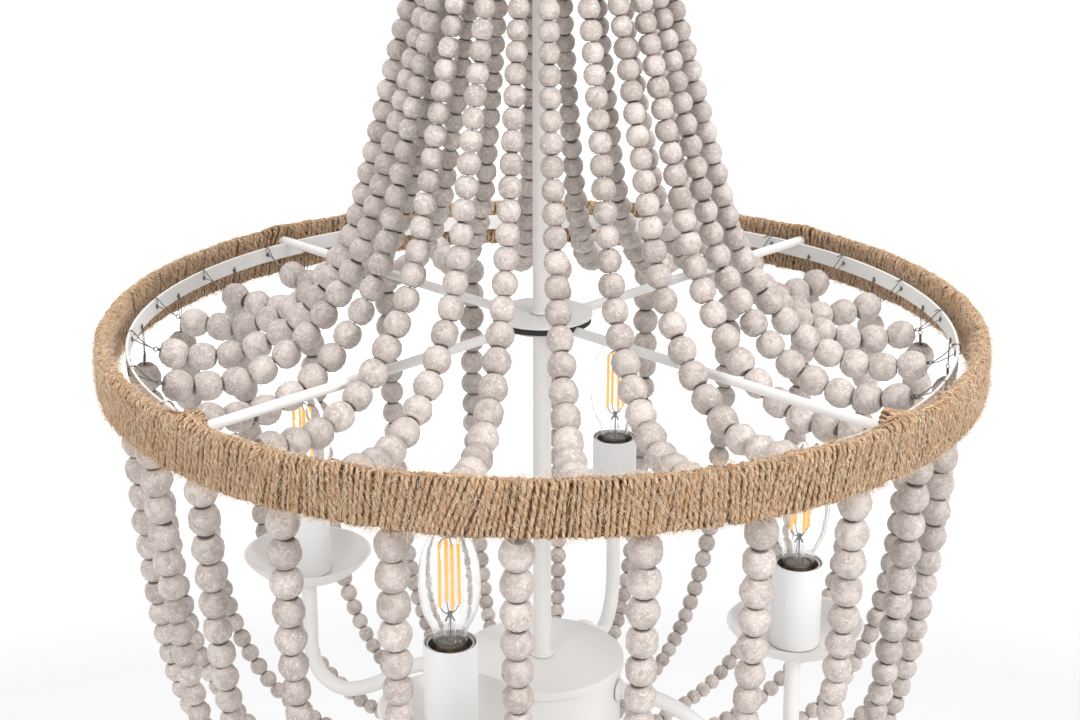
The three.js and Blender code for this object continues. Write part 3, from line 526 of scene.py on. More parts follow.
def clear_glass():
    """Blown clear glass: smooth, IOR 1.5, fully transmitting, with the faint waviness of a blown wall, 8 mm
    wide and 3 mm high."""
    material, tree, surface = new_material("blown_clear_glass")
    place = add_node(tree, "ShaderNodeTexCoord").outputs["Object"]
    upright = add_node(tree, "ShaderNodeMapping", {"Vector": place, "Scale": (0.7, 0.7, 2.0)})
    wave = add_node(tree, "ShaderNodeTexNoise", {
        "Vector": upright.outputs["Vector"], "Scale": 170.0, "Detail": 2.0}).outputs["Fac"]
    bump = add_node(tree, "ShaderNodeBump", {"Height": wave, "Strength": 0.16, "Distance": 0.3 * MM})
    feed(tree, surface, {
        "Normal": bump.outputs["Normal"], "Base Color": srgb("#FFFFFF"), "Roughness": 0.0, "IOR": 1.5,
        "Transmission Weight": 1.0})
    return material


def lit_filament():
    """A lit LED filament: a rod of yellow phosphor that glows orange-yellow, a little uneven along it, from
    chip to chip at 1.4 mm. Roughness 0.6, IOR 1.5."""
    material, tree, surface, chips = speckled("lit_led_filament", (700.0, 1.0))
    feed(tree, surface, {
        "Emission Color": layered(tree, "#FFB648", [(chips, None, None, "#FFCB6C")]),
        "Emission Strength": 1.0, "Base Color": srgb("#4A3008"), "Roughness": 0.6})
    return material


# Finishes: each is a material and the slot of the record that it shows
WOOD = (washed_wood(), "washed_wood")
TWINE = (jute_twine(), "jute")
# The core's finish: painted deep shade for the gaps between turns
PAINTED_SHADE_CORE = (jute_core_painted_shade(), "jute")
FIBRE = (bast_fibre(), "jute")
PAINT = (white_paint("satin_white_powder_coat", "#DDDBD9"), "white_paint")
SLEEVE_WHITE = (white_paint("satin_white_sleeve", "#E3E3E3", 0.4), "white_paint")
RUBBER = (black_rubber(), "washer_rubber")
WIRE_STEEL = (bare_metal("dark_drawn_steel_wire", "#5E5C5A", "#868482", 0.36), "bracket_steel")
LAMP_WIRE = (bare_metal("lamp_lead_wire", "#565658", "#8E8E90", 0.35), "bracket_steel")
# Black for the ring that lines each sleeve: painted shade of the sleeve's inner wall
SLEEVE_SHADE_LINING = (moulded_plastic("sleeve_lining_painted_shade", "#151515", "#232323"), "white_paint")
CREAM_PLASTIC = (moulded_plastic("cream_moulded_plastic", "#DFDBD2", "#EAE6DE"), "white_paint")
DARK_PLASTIC = (moulded_plastic("olive_moulded_plastic", "#56534A", "#6C685C", 0.6), "white_paint")
BROWN_PLASTIC = (moulded_plastic("brown_moulded_plastic", "#6E6355", "#8A7D6D"), "bracket_steel")
GLASS = (clear_glass(), "bulb_glass")
FILAMENT = (lit_filament(), "bulb_glass")
ZINC = bare_metal("zinc_plated_steel", "#A9ACB0", "#C4C7CB", 0.34)

# Ring wound with jute twine
TWINE_TURNS = 544
TWINE_SECTORS = 4
SECTOR_START = 0.7
TWINE_STEPS = 72
TWINE_SIDES = 8
TWINE_RADIUS = 1.5 * MM
TWINE_TWIST = 10 * MM
TWINE_CORNER = 1.6 * MM
TWINE_SPARE = 0.5 * MM
TWINE_SUNK = 0.8 * MM
TWINE_OVERLAP = 0.8 * MM
TWINE_SHARP = 80
TWINE_INSET = TWINE_RADIUS + TWINE_SPARE
TWINE_OUTER = RING_RADIUS - TWINE_INSET
TWINE_INNER = RING_RADIUS - RING_THICKNESS + TWINE_INSET
RING_MIDDLE = RING_RADIUS - RING_THICKNESS / 2
THINNEST, THICKEST = 0.74, 1.32
LOBE_LOW, LOBE_RISE = 0.64, 0.43
ROUGHEST = 0.82
# How strongly the painted shade darkens the twine between turns and between plies, and its seeded spread
FLANK_START, FLANK_SHADE = 0.6, 0.8
GROOVE_WIDTH, GROOVE_SHADE = 0.6, 0.6
SHADE_SPREAD = 0.06
LEAN = 0.24
INNER_RISE = 0.8 * MM
SPOKE_LUMP_UP = 5 * MM
SPOKE_LUMP_IN = 8.5 * MM
SPOKE_LUMP_WIDTH = 10 * MM
SPOKE_LUMP_START = 2 * MM
SPOKE_LUMP_FADE = 5 * MM
SPOKE_LUMP_FOOT = 0.1
SPOKE_LUMP_OUTSIDE = 0.4

# Drifts of the twine as (turns between steps, size of a step): metres, shares of the radius, slope, radians
SIDEWAYS_DRIFTS = [(0.35, 0.48 * MM), (2, 0.35 * MM), (6, 0.8 * MM)]
PROUD_DRIFTS = [(0.25, 0.26 * MM), (3, 0.26 * MM)]
THICKNESS_DRIFTS = [(0.8, 0.13), (5, 0.08)]
LEAN_DRIFTS = [(7, 0.11)]
TWIST_DRIFTS = [(1.5, 1.8)]


def section_path():
    """The twine's middle line round the ring's section as (radius, z), outer face first, going down."""
    half = RING_HALF_HEIGHT - TWINE_RADIUS + TWINE_OVERLAP
    corners = [
        (TWINE_OUTER, half), (TWINE_OUTER, -half), (TWINE_INNER, -half), (TWINE_INNER, half + INNER_RISE)]
    outline = rounded(corners, TWINE_CORNER, 6)
    return np.vstack([outline, outline[:1]])


def away_from_core(where):
    """The direction out of the ring's section at (radius, z) points, from the section's middle line."""
    reach = RING_HALF_HEIGHT - RING_THICKNESS / 2
    held = np.column_stack([np.full(len(where), RING_MIDDLE), np.clip(where[:, 1], -reach, reach)])
    return unit(where - held)


def wandering(turns, drifts, start=0.0):
    """A start plus values that drift along the turns and meet themselves at the end: seeded normal steps
    joined by straight lines."""
    value = start
    for every, size in drifts:
        count = int(round(TWINE_TURNS / every))
        knots = np.arange(count) / count * TWINE_TURNS
        value = value + np.interp(turns, knots, chance.normal(0, size, count), period=TWINE_TURNS)
    return value


def twine_line(turns):
    """The twine's middle line: a helix round the ring's section. Each turn wanders a little from an even
    pitch, stands more or less proud, and leans with its neighbours, and over a spoke's end the turns rise
    and reach in. Returned with the angle and the share of the full thickness at each point."""
    section = section_path()
    reached = distances(section)
    where = along(section, reached, (turns % 1) * reached[-1])
    wander = wandering(turns, SIDEWAYS_DRIFTS)
    thick = np.clip(wandering(turns, THICKNESS_DRIFTS, 1.0), THINNEST, THICKEST)
    proud = np.clip(wandering(turns, PROUD_DRIFTS), -TWINE_SUNK, TWINE_SPARE)
    outer_side = np.where(where[:, 0] > RING_MIDDLE, 1.0, -1.0)
    lean = where[:, 1] * wandering(turns, LEAN_DRIFTS, LEAN) * outer_side
    angle = turns * TURN / TWINE_TURNS + (wander + lean) / where[:, 0]
    from_spoke = (angle - FIRST_SPOKE_ANGLE + TURN / 8) % (TURN / 4) - TURN / 8
    over_spoke = np.exp(-((from_spoke * RING_RADIUS / SPOKE_LUMP_WIDTH) ** 2))
    near_top = over_spoke * np.clip(where[:, 1] / RING_HALF_HEIGHT - SPOKE_LUMP_FOOT, 0, 1)
    inwards = np.clip((RING_RADIUS - SPOKE_LUMP_START - where[:, 0]) / SPOKE_LUMP_FADE, 0, 1)
    rise = SPOKE_LUMP_OUTSIDE + (1 - SPOKE_LUMP_OUTSIDE) * inwards
    lump = np.column_stack([-SPOKE_LUMP_IN * inwards, SPOKE_LUMP_UP * rise])
    place = where + away_from_core(where) * proud[:, None] + near_top[:, None] * lump
    place[:, 0] = np.minimum(place[:, 0], RING_RADIUS - TWINE_RADIUS * (LOBE_LOW + LOBE_RISE) * thick)
    return out_from(angle) * place[:, :1] + UP * (RING_Z + place[:, 1:]), angle, thick


def twine_surface():
    """The twine's skin: its section has two lobes, radius R (0.64 + 0.43 |cos(a)|), that turn once in each
    length of twist, roughened by a seeded amount. Returned with its middle line, each point's place in
    millimetres, as two steps across the twine and one along it, and its painted shade and dust, deepest in
    the grooves between plies and where a turn meets its neighbours."""
    turns = np.arange(TWINE_TURNS * TWINE_STEPS) / TWINE_STEPS + SECTOR_START
    path, angle, thick = twine_line(turns)
    tangent = unit(np.roll(path, -1, axis=0) - np.roll(path, 1, axis=0))
    across = unit(np.cross(tangent, aside_from(angle)))
    beside = np.cross(across, tangent)
    length = distances(path)
    around = np.arange(TWINE_SIDES) / TWINE_SIDES * TURN
    twist = length / TWINE_TWIST * TURN + wandering(turns, TWIST_DRIFTS)
    lobe = around[None] - twist[:, None]
    ply = np.abs(np.cos(lobe))
    rough = chance.uniform(ROUGHEST, 1.0, ply.shape)
    size = TWINE_RADIUS * thick[:, None] * (LOBE_LOW + LOBE_RISE * ply) * rough
    circle = across[:, None] * np.cos(around)[None, :, None] + beside[:, None] * np.sin(around)[None, :, None]
    points = path[:, None] + circle * size[..., None]
    # Painted shade and dust: darker where a turn meets its neighbours and in the grooves between plies
    flank = np.clip((np.abs(np.sin(around)) - FLANK_START) / (1 - FLANK_START), 0, 1)[None]
    groove = np.clip(1 - ply / GROOVE_WIDTH, 0, 1)
    shade = np.maximum(flank * FLANK_SHADE, groove * GROOVE_SHADE)
    shade = np.clip(shade + chance.normal(0, SHADE_SPREAD, ply.shape), 0, 1)
    depth = np.stack([np.cos(lobe) * size, np.sin(lobe) * size], axis=-1) / MM
    travel = np.broadcast_to((length / MM)[:, None, None], (*depth.shape[:2], 1))
    return points, path, np.concatenate([depth, travel], axis=-1), shade


def wind_ring():
    """The winding in sectors, each closed at its ends on the ring's inner side, over a core in painted shade.
    """
    points, path, place, shade = twine_surface()
    rows = TWINE_TURNS * TWINE_STEPS // TWINE_SECTORS
    for sector in range(TWINE_SECTORS):
        pick = np.arange(sector * rows, (sector + 1) * rows + 1) % len(path)
        part = points[pick]
        part[[0, -1]] = path[pick[[0, -1]], None]
        marks = {"twine_place": place[pick].reshape(-1, 3), "twine_painted_shade": shade[pick].ravel()}
        name = f"jute_winding_{sector + 1}"
        add_piece(name, [patch(part)], TWINE, ["jute_ring"], marks=marks, sharp=TWINE_SHARP)
    half = RING_HALF_HEIGHT - TWINE_INSET
    corners = ring_section(TWINE_INNER, TWINE_OUTER, RING_Z - half, RING_Z + half)
    # The core is painted dark: the shade seen in the gaps between turns
    add_piece("jute_ring_core", [ring(corners, TWINE_CORNER, 192)], PAINTED_SHADE_CORE)


# Stray fibres. Lifts are slopes away from the winding, and lengths are in millimetres
FIBRE_PIECES = 3
FIBRE_COUNT = 16500
FIBRE_POINTS = 4
FIBRE_SIDES = 3
FIBRE_RADIUS = 0.085 * MM
FIBRE_ROOT = 0.95
FIBRE_DRIFT = 0.5
FIBRE_BEND = 0.35
FIBRE_DROOP = 0.6
FIBRE_SHADES = 500
STANDING_SHARE = 0.3
STANDING_LIFTS, LYING_LIFTS = (0.3, 1.3), (0.05, 0.2)
STANDING_LENGTHS, LYING_LENGTHS = (1.5, 4.5), (3, 9)


def stray_fibres(name):
    """Short hairs on the twine: each is a bent line p + L (t d + t^2 b), a thin three-sided tube. Most lie
    close to the winding and some stand off it. Those that would reach past the ring's box are left out."""
    section = section_path()
    reached = distances(section)
    each = (FIBRE_COUNT, 1)
    where = along(section, reached, chance.random(FIBRE_COUNT) * reached[-1])
    angle = chance.random(FIBRE_COUNT) * TURN
    away = away_from_core(where)
    foot = out_from(angle) * where[:, :1] + UP * (RING_Z + where[:, 1:])
    normal = out_from(angle) * away[:, :1] + UP * away[:, 1:]
    root = foot + normal * TWINE_RADIUS * FIBRE_ROOT
    along_twine = np.cross(normal, aside_from(angle)) * chance.choice([-1, 1], each)
    standing = chance.random(each) < STANDING_SHARE
    lift = np.where(standing, chance.uniform(*STANDING_LIFTS, each), chance.uniform(*LYING_LIFTS, each))
    drift = chance.normal(0, FIBRE_DRIFT, each)
    heading = unit(along_twine + normal * lift + aside_from(angle) * drift)
    bend = chance.normal(0, FIBRE_BEND, (FIBRE_COUNT, 3)) - normal * lift * FIBRE_DROOP
    length = np.where(
        standing, chance.uniform(*STANDING_LENGTHS, each), chance.uniform(*LYING_LENGTHS, each)) * MM
    t = np.linspace(0, 1, FIBRE_POINTS)[None, :, None]
    path = root[:, None] + length[:, None] * (t * heading[:, None] + t ** 2 * bend[:, None])
    tangent = unit(np.gradient(path, axis=1))
    side = unit(np.cross(tangent, normal[:, None] + 0.3))
    over = np.cross(side, tangent)
    turn = np.arange(FIBRE_SIDES) / FIBRE_SIDES * TURN
    size = FIBRE_RADIUS * np.array([0.0] + [1.0] * (FIBRE_POINTS - 2) + [0.0])
    circle = side[:, :, None] * np.cos(turn)[:, None] + over[:, :, None] * np.sin(turn)[:, None]
    points = path[:, :, None] + circle * size[None, :, None, None]
    points = points[np.abs(points[..., :2]).max(axis=(1, 2, 3)) < RING_RADIUS]
    place = chance.random((len(points), 1, 1, 3)) * FIBRE_SHADES + np.zeros(points.shape)
    add_piece(name, [copies(points)], FIBRE, marks={"twine_place": place.reshape(-1, 3)}, sharp=180)


# Band pierced for the wires
HOLE_SIDES = 16
WIRE_HOLE_RADIUS = 1.2 * MM
LOWER_HOLE_HEIGHT = 1.0 * MM
UPPER_HOLE_HEIGHT = 4.0 * MM
BAND_BEVEL = 0.25 * MM


def pierced(cells, across_per_along, hole_radius, place):
    """A sheet with a round hole in each cell. A cell is (from, to, low, high, hole along, hole across). Its
    grid runs round the cell's edge and in to the hole on one face, through, and out on the other face."""
    quarter = HOLE_SIDES // 4
    step = np.arange(quarter) / quarter
    zero = np.zeros(quarter)
    edge_u = np.concatenate([step, zero + 1, 1 - step, zero])
    edge_v = np.concatenate([zero, step, zero + 1, 1 - step])
    turn = np.arctan2(edge_v - 0.5, edge_u - 0.5)
    patches = []
    for start, stop, low, high, hole_along, hole_across in cells:
        edge = np.stack([start + (stop - start) * edge_u, low + (high - low) * edge_v], axis=-1)
        rim = np.stack([hole_along + hole_radius * np.cos(turn) * across_per_along,
                        hole_across + hole_radius * np.sin(turn)], axis=-1)
        rows = [place(edge, 1), place(rim, 1), place(rim, 0), place(edge, 0)]
        patches.append(patch(np.stack(rows)))
        for line in (edge_v == 0, edge_v == 1):
            side = edge[line]
            patches.append(patch(np.stack([place(side, 1), place(side, 0)]), wrap_columns=False))
    return patches


def inner_band():
    """The flat band: in each of its 48 cells a hole, low for a lower strand and high for an upper one."""
    count = PAIR_COUNT * 4
    width = TURN / count
    cells = []
    for i in range(count):
        centre = FIRST_LOWER_ANGLE + i * width
        hole_z = RING_Z + (LOWER_HOLE_HEIGHT if i % 2 == 0 else UPPER_HOLE_HEIGHT)
        cells.append((centre - width / 2, centre + width / 2, BAND_LOW, BAND_HIGH, centre, hole_z))

    def place(points, face):
        radius = BAND_OUTER if face else BAND_INNER
        return out_from(points[:, 0]) * radius + UP * points[:, 1:]

    patches = pierced(cells, 1 / BAND_INNER, WIRE_HOLE_RADIUS, place)
    band = add_piece("band_with_wire_holes", patches, PAINT, ["inner_band"])
    bevel = band.modifiers.new("worn_edges", "BEVEL")
    bevel.width = BAND_BEVEL
    bevel.segments = 2
    bevel.limit_method = "ANGLE"


# Strands of beads. An outline point is a share of the bead's diameter, and the drifts are in millimetres
BEAD_PITCH = 0.957
BEAD_COLUMNS = 10
BEAD_SHARP = 38.0
BEAD_OUTLINE = np.array([
    (0.08, -0.455), (0.245, -0.464), (0.405, -0.335), (0.503, -0.12),
    (0.503, 0.12), (0.405, 0.335), (0.245, 0.464), (0.08, 0.455),
])
BEAD_END = 0.468
BEAD_TILT = math.radians(3.5)
BEAD_WIDTHS = (0.975, 1.015)
BEAD_SHADES = 400
STRAND_POINTS = 160
STRAND_DRIFTS = np.array([1.4, 0.9, 0.8, 0.5])
TOP_WIRE_RADIUS = 47 * MM
BOTTOM_WIRE_RADIUS = 40 * MM
UPPER_WIRE_RISE = 4 * MM
WIRE_RADIUS = 0.45 * MM

# Shares of the way out from the plate's wires to the band, and of the height above it or the depth below it
UPPER_CURVE_SHARES = [
    (0.003, 0.975), (0.06, 0.82), (0.119, 0.67), (0.179, 0.523), (0.249, 0.355), (0.331, 0.186),
    (0.423, 0.09), (0.537, 0.014), (0.699, -0.036), (0.856, -0.034), (0.917, -0.023),
]
LOWER_CURVE_SHARES = [
    (0.998, 0.07), (0.992, 0.157), (0.971, 0.383), (0.935, 0.592), (0.893, 0.714), (0.82, 0.819),
    (0.721, 0.902), (0.574, 0.962), (0.366, 0.993), (0.157, 1.005), (0.06, 1.007),
]

# Bead diameters in millimetres at shares of the way along a strand
UPPER_BEAD_SIZES = [(0.0, 11.1), (0.3, 11.6), (0.55, 12.8), (0.7, 14.8), (0.85, 16.2), (1.0, 17.0)]
LOWER_BEAD_SIZES = [(0.0, 17.5), (0.16, 16.6), (0.4, 13.3), (0.64, 10.1), (0.8, 9.2), (1.0, 9.2)]


def graded(sizes, share):
    """The bead diameter at a share of the way, read off a table."""
    at, diameter = np.array(sizes).T
    return np.interp(share, at, diameter) * MM


def strand_path(shares, inner, foot, head, angle):
    """One strand's line in space. It hangs a little to one side and a little slack, by seeded sines."""
    points = [(inner + (BAND_INNER - inner) * out, foot + (head - foot) * up) for out, up in shares]
    curve = evenly(smooth_curve(points), STRAND_POINTS)
    t = np.linspace(0, 1, len(curve))
    tangent = unit(np.gradient(curve, axis=0))
    slack, ripple, sway, swing = chance.normal(0, 1, 4) * STRAND_DRIFTS * MM
    normal = np.column_stack([-tangent[:, 1], tangent[:, 0]])
    curve = curve + normal * (slack * np.sin(np.pi * t) + ripple * np.sin(2 * np.pi * t))[:, None]
    side = sway * np.sin(np.pi * t) + swing * np.sin(2 * np.pi * t)
    return out_from(angle) * curve[:, :1] + aside_from(angle) * side[:, None] + UP * curve[:, 1:]


def bead_grids(path, sizes, angle):
    """Beads threaded on a path. A bead's middle lies where the running count of beads, the sum of distance
    over pitch, reaches a half more than a whole number. Each bead is its outline turned about the path."""
    reached = distances(path)
    diameter = graded(sizes, reached / reached[-1])
    pitch = diameter * BEAD_PITCH
    count = np.append(0, np.cumsum(np.diff(reached) * 2 / (pitch[1:] + pitch[:-1])))
    number = int(round(count[-1]))
    where = np.interp((np.arange(number) + 0.5) * count[-1] / number, count, reached)
    centre = along(path, reached, where)
    axis = unit(along(path, reached, where + MM) - along(path, reached, where - MM))
    axis = unit(axis + chance.normal(0, BEAD_TILT, (number, 3)))
    side = unit(aside_from(angle) - axis * (axis @ aside_from(angle))[:, None])
    over = np.cross(axis, side)
    size = np.interp(where, reached, diameter)
    wide = size * chance.uniform(*BEAD_WIDTHS, number)
    turn = (np.arange(BEAD_COLUMNS) / BEAD_COLUMNS + chance.random((number, 1))) * TURN
    circle = side[:, None] * np.cos(turn)[..., None] + over[:, None] * np.sin(turn)[..., None]
    radius = wide[:, None] * BEAD_OUTLINE[:, 0]
    height = size[:, None] * BEAD_OUTLINE[:, 1]
    points = centre[:, None, None] + circle[:, None] * radius[:, :, None, None]
    points = points + axis[:, None, None] * height[:, :, None, None]
    local = np.empty(points.shape)
    local[..., 0] = radius[:, :, None] / MM * np.cos(turn)[:, None]
    local[..., 1] = radius[:, :, None] / MM * np.sin(turn)[:, None]
    local[..., 2] = (height / MM)[:, :, None]
    local += chance.random((number, 1, 1, 3)) * BEAD_SHADES
    tone = np.broadcast_to(chance.random((number, 1, 1)), points.shape[:3])
    # Each row's nearness to a flat end, which the wood darkens as painted shade
    end = np.broadcast_to(np.abs(BEAD_OUTLINE[:, 1] / BEAD_END)[None, :, None], points.shape[:3])
    return points, {"bead_place": local.reshape(-1, 3), "bead_tone": tone.ravel(), "bead_end_shade": end.ravel()}


def thread_pair(name, node, paths, sizes, angles):
    """Two neighbouring strands as one mesh of beads."""
    made = [bead_grids(path, sizes, angle) for path, angle in zip(paths, angles)]
    points = np.concatenate([grid for grid, _ in made])
    marks = {key: np.concatenate([mark[key] for _, mark in made]) for key in made[0][1]}
    beads = copies(points, wrap_rows=True)
    add_piece(name, [beads], WOOD, [node], marks=marks, merge=False, sharp=BEAD_SHARP)


def pair_wire(paths, angles, wire_radius, plate_top):
    """One wire through both strands of a pair: up through a hole in the plate, over it and down the next."""
    first, second = [out_from(a) * wire_radius + UP * (plate_top + WIRE_RADIUS * 1.5) for a in angles]
    middle = (first + second) / 2 + UP * 0.4 * MM
    line = np.vstack([paths[0][::-1], first, middle, second, paths[1]])
    between = np.mean(angles)
    return tube(line, WIRE_RADIUS, 6, unit(aside_from(between) + 0.6 * out_from(between) + 0.35 * UP))


# Wires at the band
HOOK_RADIUS = 0.32 * MM
HOOK_LEAN = 0.5 * MM
HOOK_DROP = 0.4 * MM
STUB_RADIUS = 0.45 * MM
HANGER_STUB_RADIUS = 0.5 * MM
HANGER_SPREAD = 1.4 * MM
HANGER_DRIFT = 0.25 * MM
FINE_WIRE_RADIUS = 0.24 * MM
SMALL_RING_RADIUS = 1.2 * MM
SMALL_RING_POINTS = 20
CRIMP_TURNS = 7
CRIMP_POINTS = 80
CRIMP_RADIUS = 0.62 * MM
CRIMP_WIRE_RADIUS = 0.3 * MM
CURVE_SPAN = 6


def beside_band(angle, points):
    """Points given as (radius, aside, height above the ring's middle) put into place at an angle."""
    points = np.asarray(points, float)
    level = out_from(angle) * points[:, :1] + aside_from(angle) * points[:, 1:2]
    return level + UP * (RING_Z + points[:, 2:])


def closed_wire(points, radius, reference):
    """A wire bent into a smooth closed curve through points."""
    over_ends = smooth_curve(np.vstack([points[-1], points, points[:2]]), CURVE_SPAN)
    return tube(over_ends[CURVE_SPAN:-CURVE_SPAN - 1], radius, 6, reference, closed=True)


def small_ring(centre, axis):
    """A ring of wire about an axis."""
    side = unit(np.cross(axis, UP + 0.3))
    over = np.cross(unit(axis), side)
    turn = np.arange(SMALL_RING_POINTS)[:, None] / SMALL_RING_POINTS * TURN
    line = centre + (side * np.cos(turn) + over * np.sin(turn)) * SMALL_RING_RADIUS
    return tube(line, HOOK_RADIUS, 6, unit(axis), closed=True)


def crimp(start, end):
    """A short coil of fine wire twisted tight round the strand's wire, from one point to another."""
    axis = end - start
    side = unit(np.cross(axis, UP + 0.3 * aside_from(1.0)))
    over = unit(np.cross(side, axis))
    t = np.linspace(0, 1, CRIMP_POINTS)[:, None]
    turn = t * TURN * CRIMP_TURNS
    line = start + axis * t + (side * np.cos(turn) + over * np.sin(turn)) * CRIMP_RADIUS
    return tube(line, CRIMP_WIRE_RADIUS, 5, unit(axis))


def upper_fastening(angle, last):
    """What an upper strand is held by: a closed hook of wire in through the band's hole, out to a narrow
    bight near the last bead, back beside itself over the band's top edge and down its outside, with a short
    bent tail, and a small ring and a crimp between the bight and the strand's last point."""
    lean = chance.normal(0, HOOK_LEAN)
    drop = chance.normal(0, HOOK_DROP)
    inner, outer, hole = BAND_INNER, BAND_OUTER, UPPER_HOLE_HEIGHT
    top = BAND_HIGH - RING_Z
    hook = beside_band(angle, [
        (outer + 0.7 * MM, 0.0, hole),
        (inner - 1.0 * MM, -0.2 * MM, hole - 0.2 * MM),
        (inner - 4.5 * MM, -0.8 * MM + lean, hole - 2.0 * MM + drop),
        (inner - 9.5 * MM, -1.0 * MM + lean, hole - 4.6 * MM + drop),
        (inner - 12.4 * MM, lean, hole - 5.6 * MM + drop),
        (inner - 9.5 * MM, 0.9 * MM + lean, hole - 3.6 * MM + drop),
        (inner - 5.0 * MM, 0.8 * MM + lean, hole + 0.6 * MM + drop),
        (inner - 0.8 * MM, 0.5 * MM, top + 0.6 * MM),
        (outer + 0.4 * MM, 0.4 * MM, top + 0.5 * MM),
        (outer + 0.9 * MM, 0.2 * MM, (top + hole) / 2),
    ])
    tail = beside_band(angle, [
        (inner - 0.6 * MM, 0.3 * MM, top + 1.1 * MM),
        (inner - 1.6 * MM, 1.6 * MM + lean, top + 0.7 * MM),
        (inner - 2.6 * MM, 3.6 * MM + lean, top - 0.8 * MM),
    ])
    stub = beside_band(angle, [
        (inner - 0.6 * MM, -0.2 * MM, hole - 1.4 * MM),
        (inner - 0.5 * MM, 0.0, hole + 1.6 * MM),
    ])
    bight = hook[4]
    heading = unit(bight - last)
    eye = bight - heading * 0.8 * MM
    foot = eye - heading * 1.2 * MM
    return [
        closed_wire(hook, HOOK_RADIUS, unit(aside_from(angle) + 0.5 * out_from(angle) + 0.4 * UP)),
        tube(smooth_curve(tail, 4), HOOK_RADIUS, 5, out_from(angle)),
        tube(stub, STUB_RADIUS, 6, out_from(angle)),
        small_ring(eye, unit(aside_from(angle) + 0.5 * UP)),
        crimp(last - heading * 0.4 * MM, eye - heading * 1.3 * MM),
        tube([last - heading * 2 * MM, foot], WIRE_RADIUS, 6, UP),
    ]


def lower_hanger(angle, top_of_bead):
    """What a lower strand hangs by: a dark stub in the band's low hole, a long narrow loop of fine wire, a
    small ring and a crimped end that goes down into the first bead."""
    spread = chance.normal(HANGER_SPREAD, HANGER_DRIFT)
    hole = LOWER_HOLE_HEIGHT
    bight = top_of_bead[2] - RING_Z + 8.2 * MM
    middle = (hole + bight) / 2
    face = BAND_INNER - 0.9 * MM
    stub = beside_band(angle, [
        (BAND_INNER - 0.6 * MM, 0.0, hole + 1.9 * MM),
        (BAND_INNER - 0.7 * MM, 0.0, hole - 1.6 * MM),
    ])
    loop = beside_band(angle, [
        (BAND_OUTER + 0.6 * MM, 0.0, hole),
        (face, 0.25 * MM, hole - 0.6 * MM),
        (face, spread, hole - 3.2 * MM),
        (face, spread, middle),
        (face, spread * 0.7, bight + 1.4 * MM),
        (face, 0.0, bight),
        (face, -spread * 0.7, bight + 1.4 * MM),
        (face, -spread, middle),
        (face, -spread, hole - 3.2 * MM),
        (face, -0.25 * MM, hole - 0.6 * MM),
    ])
    eye = beside_band(angle, [(face, 0.0, bight - 1.1 * MM)])[0]
    ring_foot = eye - UP * 1.3 * MM
    return [
        tube(stub, HANGER_STUB_RADIUS, 6, out_from(angle)),
        closed_wire(loop, FINE_WIRE_RADIUS, unit(out_from(angle) + 0.4 * aside_from(angle) + 0.3 * UP)),
        small_ring(eye, unit(out_from(angle) + 0.6 * aside_from(angle))),
        crimp(ring_foot, top_of_bead + (ring_foot - top_of_bead) * 0.22),
        tube([top_of_bead - UP * MM, ring_foot], WIRE_RADIUS, 6, out_from(angle)),
    ]


def strands():
    """The pairs of strands: their beads, the wire through them, and what they are held by at the band."""
    top_low, top_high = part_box("top_plate")
    bottom_low, bottom_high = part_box("bottom_plate")
    foot = RING_Z + UPPER_WIRE_RISE
    head = BAND_LOW - GAP
    for i in range(PAIR_COUNT):
        upper_angles = [FIRST_UPPER_ANGLE + (2 * i + k) * STRAND_STEP for k in (0, 1)]
        lower_angles = [FIRST_LOWER_ANGLE + (2 * i + k) * STRAND_STEP for k in (0, 1)]
        upper = [strand_path(UPPER_CURVE_SHARES, TOP_WIRE_RADIUS, foot, top_low.z, a) for a in upper_angles]
        lower = [
            strand_path(LOWER_CURVE_SHARES, BOTTOM_WIRE_RADIUS, head, bottom_low.z, a) for a in lower_angles]
        thread_pair(f"upper_beads_{i + 1}", f"upper_strands_{i + 1}", upper, UPPER_BEAD_SIZES, upper_angles)
        thread_pair(f"lower_beads_{i + 1}", f"lower_strands_{i + 1}", lower, LOWER_BEAD_SIZES, lower_angles)
        upwards = [path[::-1] for path in lower]
        wires = [
            pair_wire(upper, upper_angles, TOP_WIRE_RADIUS, top_high.z),
            pair_wire(upwards, lower_angles, BOTTOM_WIRE_RADIUS, bottom_high.z),
        ]
        for path, angle in zip(upper, upper_angles):
            wires += upper_fastening(angle, path[-1])
        for path, angle in zip(lower, lower_angles):
            wires += lower_hanger(angle, path[0])
        add_piece(f"strand_wires_{i + 1}", wires, WIRE_STEEL)


# Hub, spokes, rod and plates
SPOKE_Z = RING_Z + 8.8 * MM
SPOKE_RADIUS = 2.8 * MM
SPOKE_REACH = RING_RADIUS - RING_THICKNESS - GAP
HUB_RADIUS = 22 * MM
GASKET_INNER = 22.3 * MM
COLLAR_HEIGHT = 1.4 * MM
COLLAR_OUT = 1.4 * MM
ROD_WALL = 1.5 * MM
KNOB_RADIUS = 10 * MM
KNOB_SOCKET = 9 * MM
KNOB_SHARES = [
    (0.0, 0.0), (0.3, 0.012), (0.62, 0.07), (0.85, 0.18), (1.0, 0.37), (0.93, 0.58), (0.78, 0.78),
    (0.75, 0.9), (0.75, 0.985), (0.72, 1.0),
]


def disc(name, node, rim, easing):
    """A flat round piece with a bore for the rod, as high as its node."""
    low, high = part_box(node)
    add_piece(name, [ring(ring_section(BORE, rim, low.z, high.z), easing, 96)], PAINT, [node])


def plates():
    for node, wire_radius in (("top_plate", TOP_WIRE_RADIUS), ("bottom_plate", BOTTOM_WIRE_RADIUS)):
        disc(f"{node}_disc", node, wire_radius + 4 * MM, 0.6 * MM)


def spoke_angles():
    return [FIRST_SPOKE_ANGLE + i * TURN / 4 for i in range(4)]


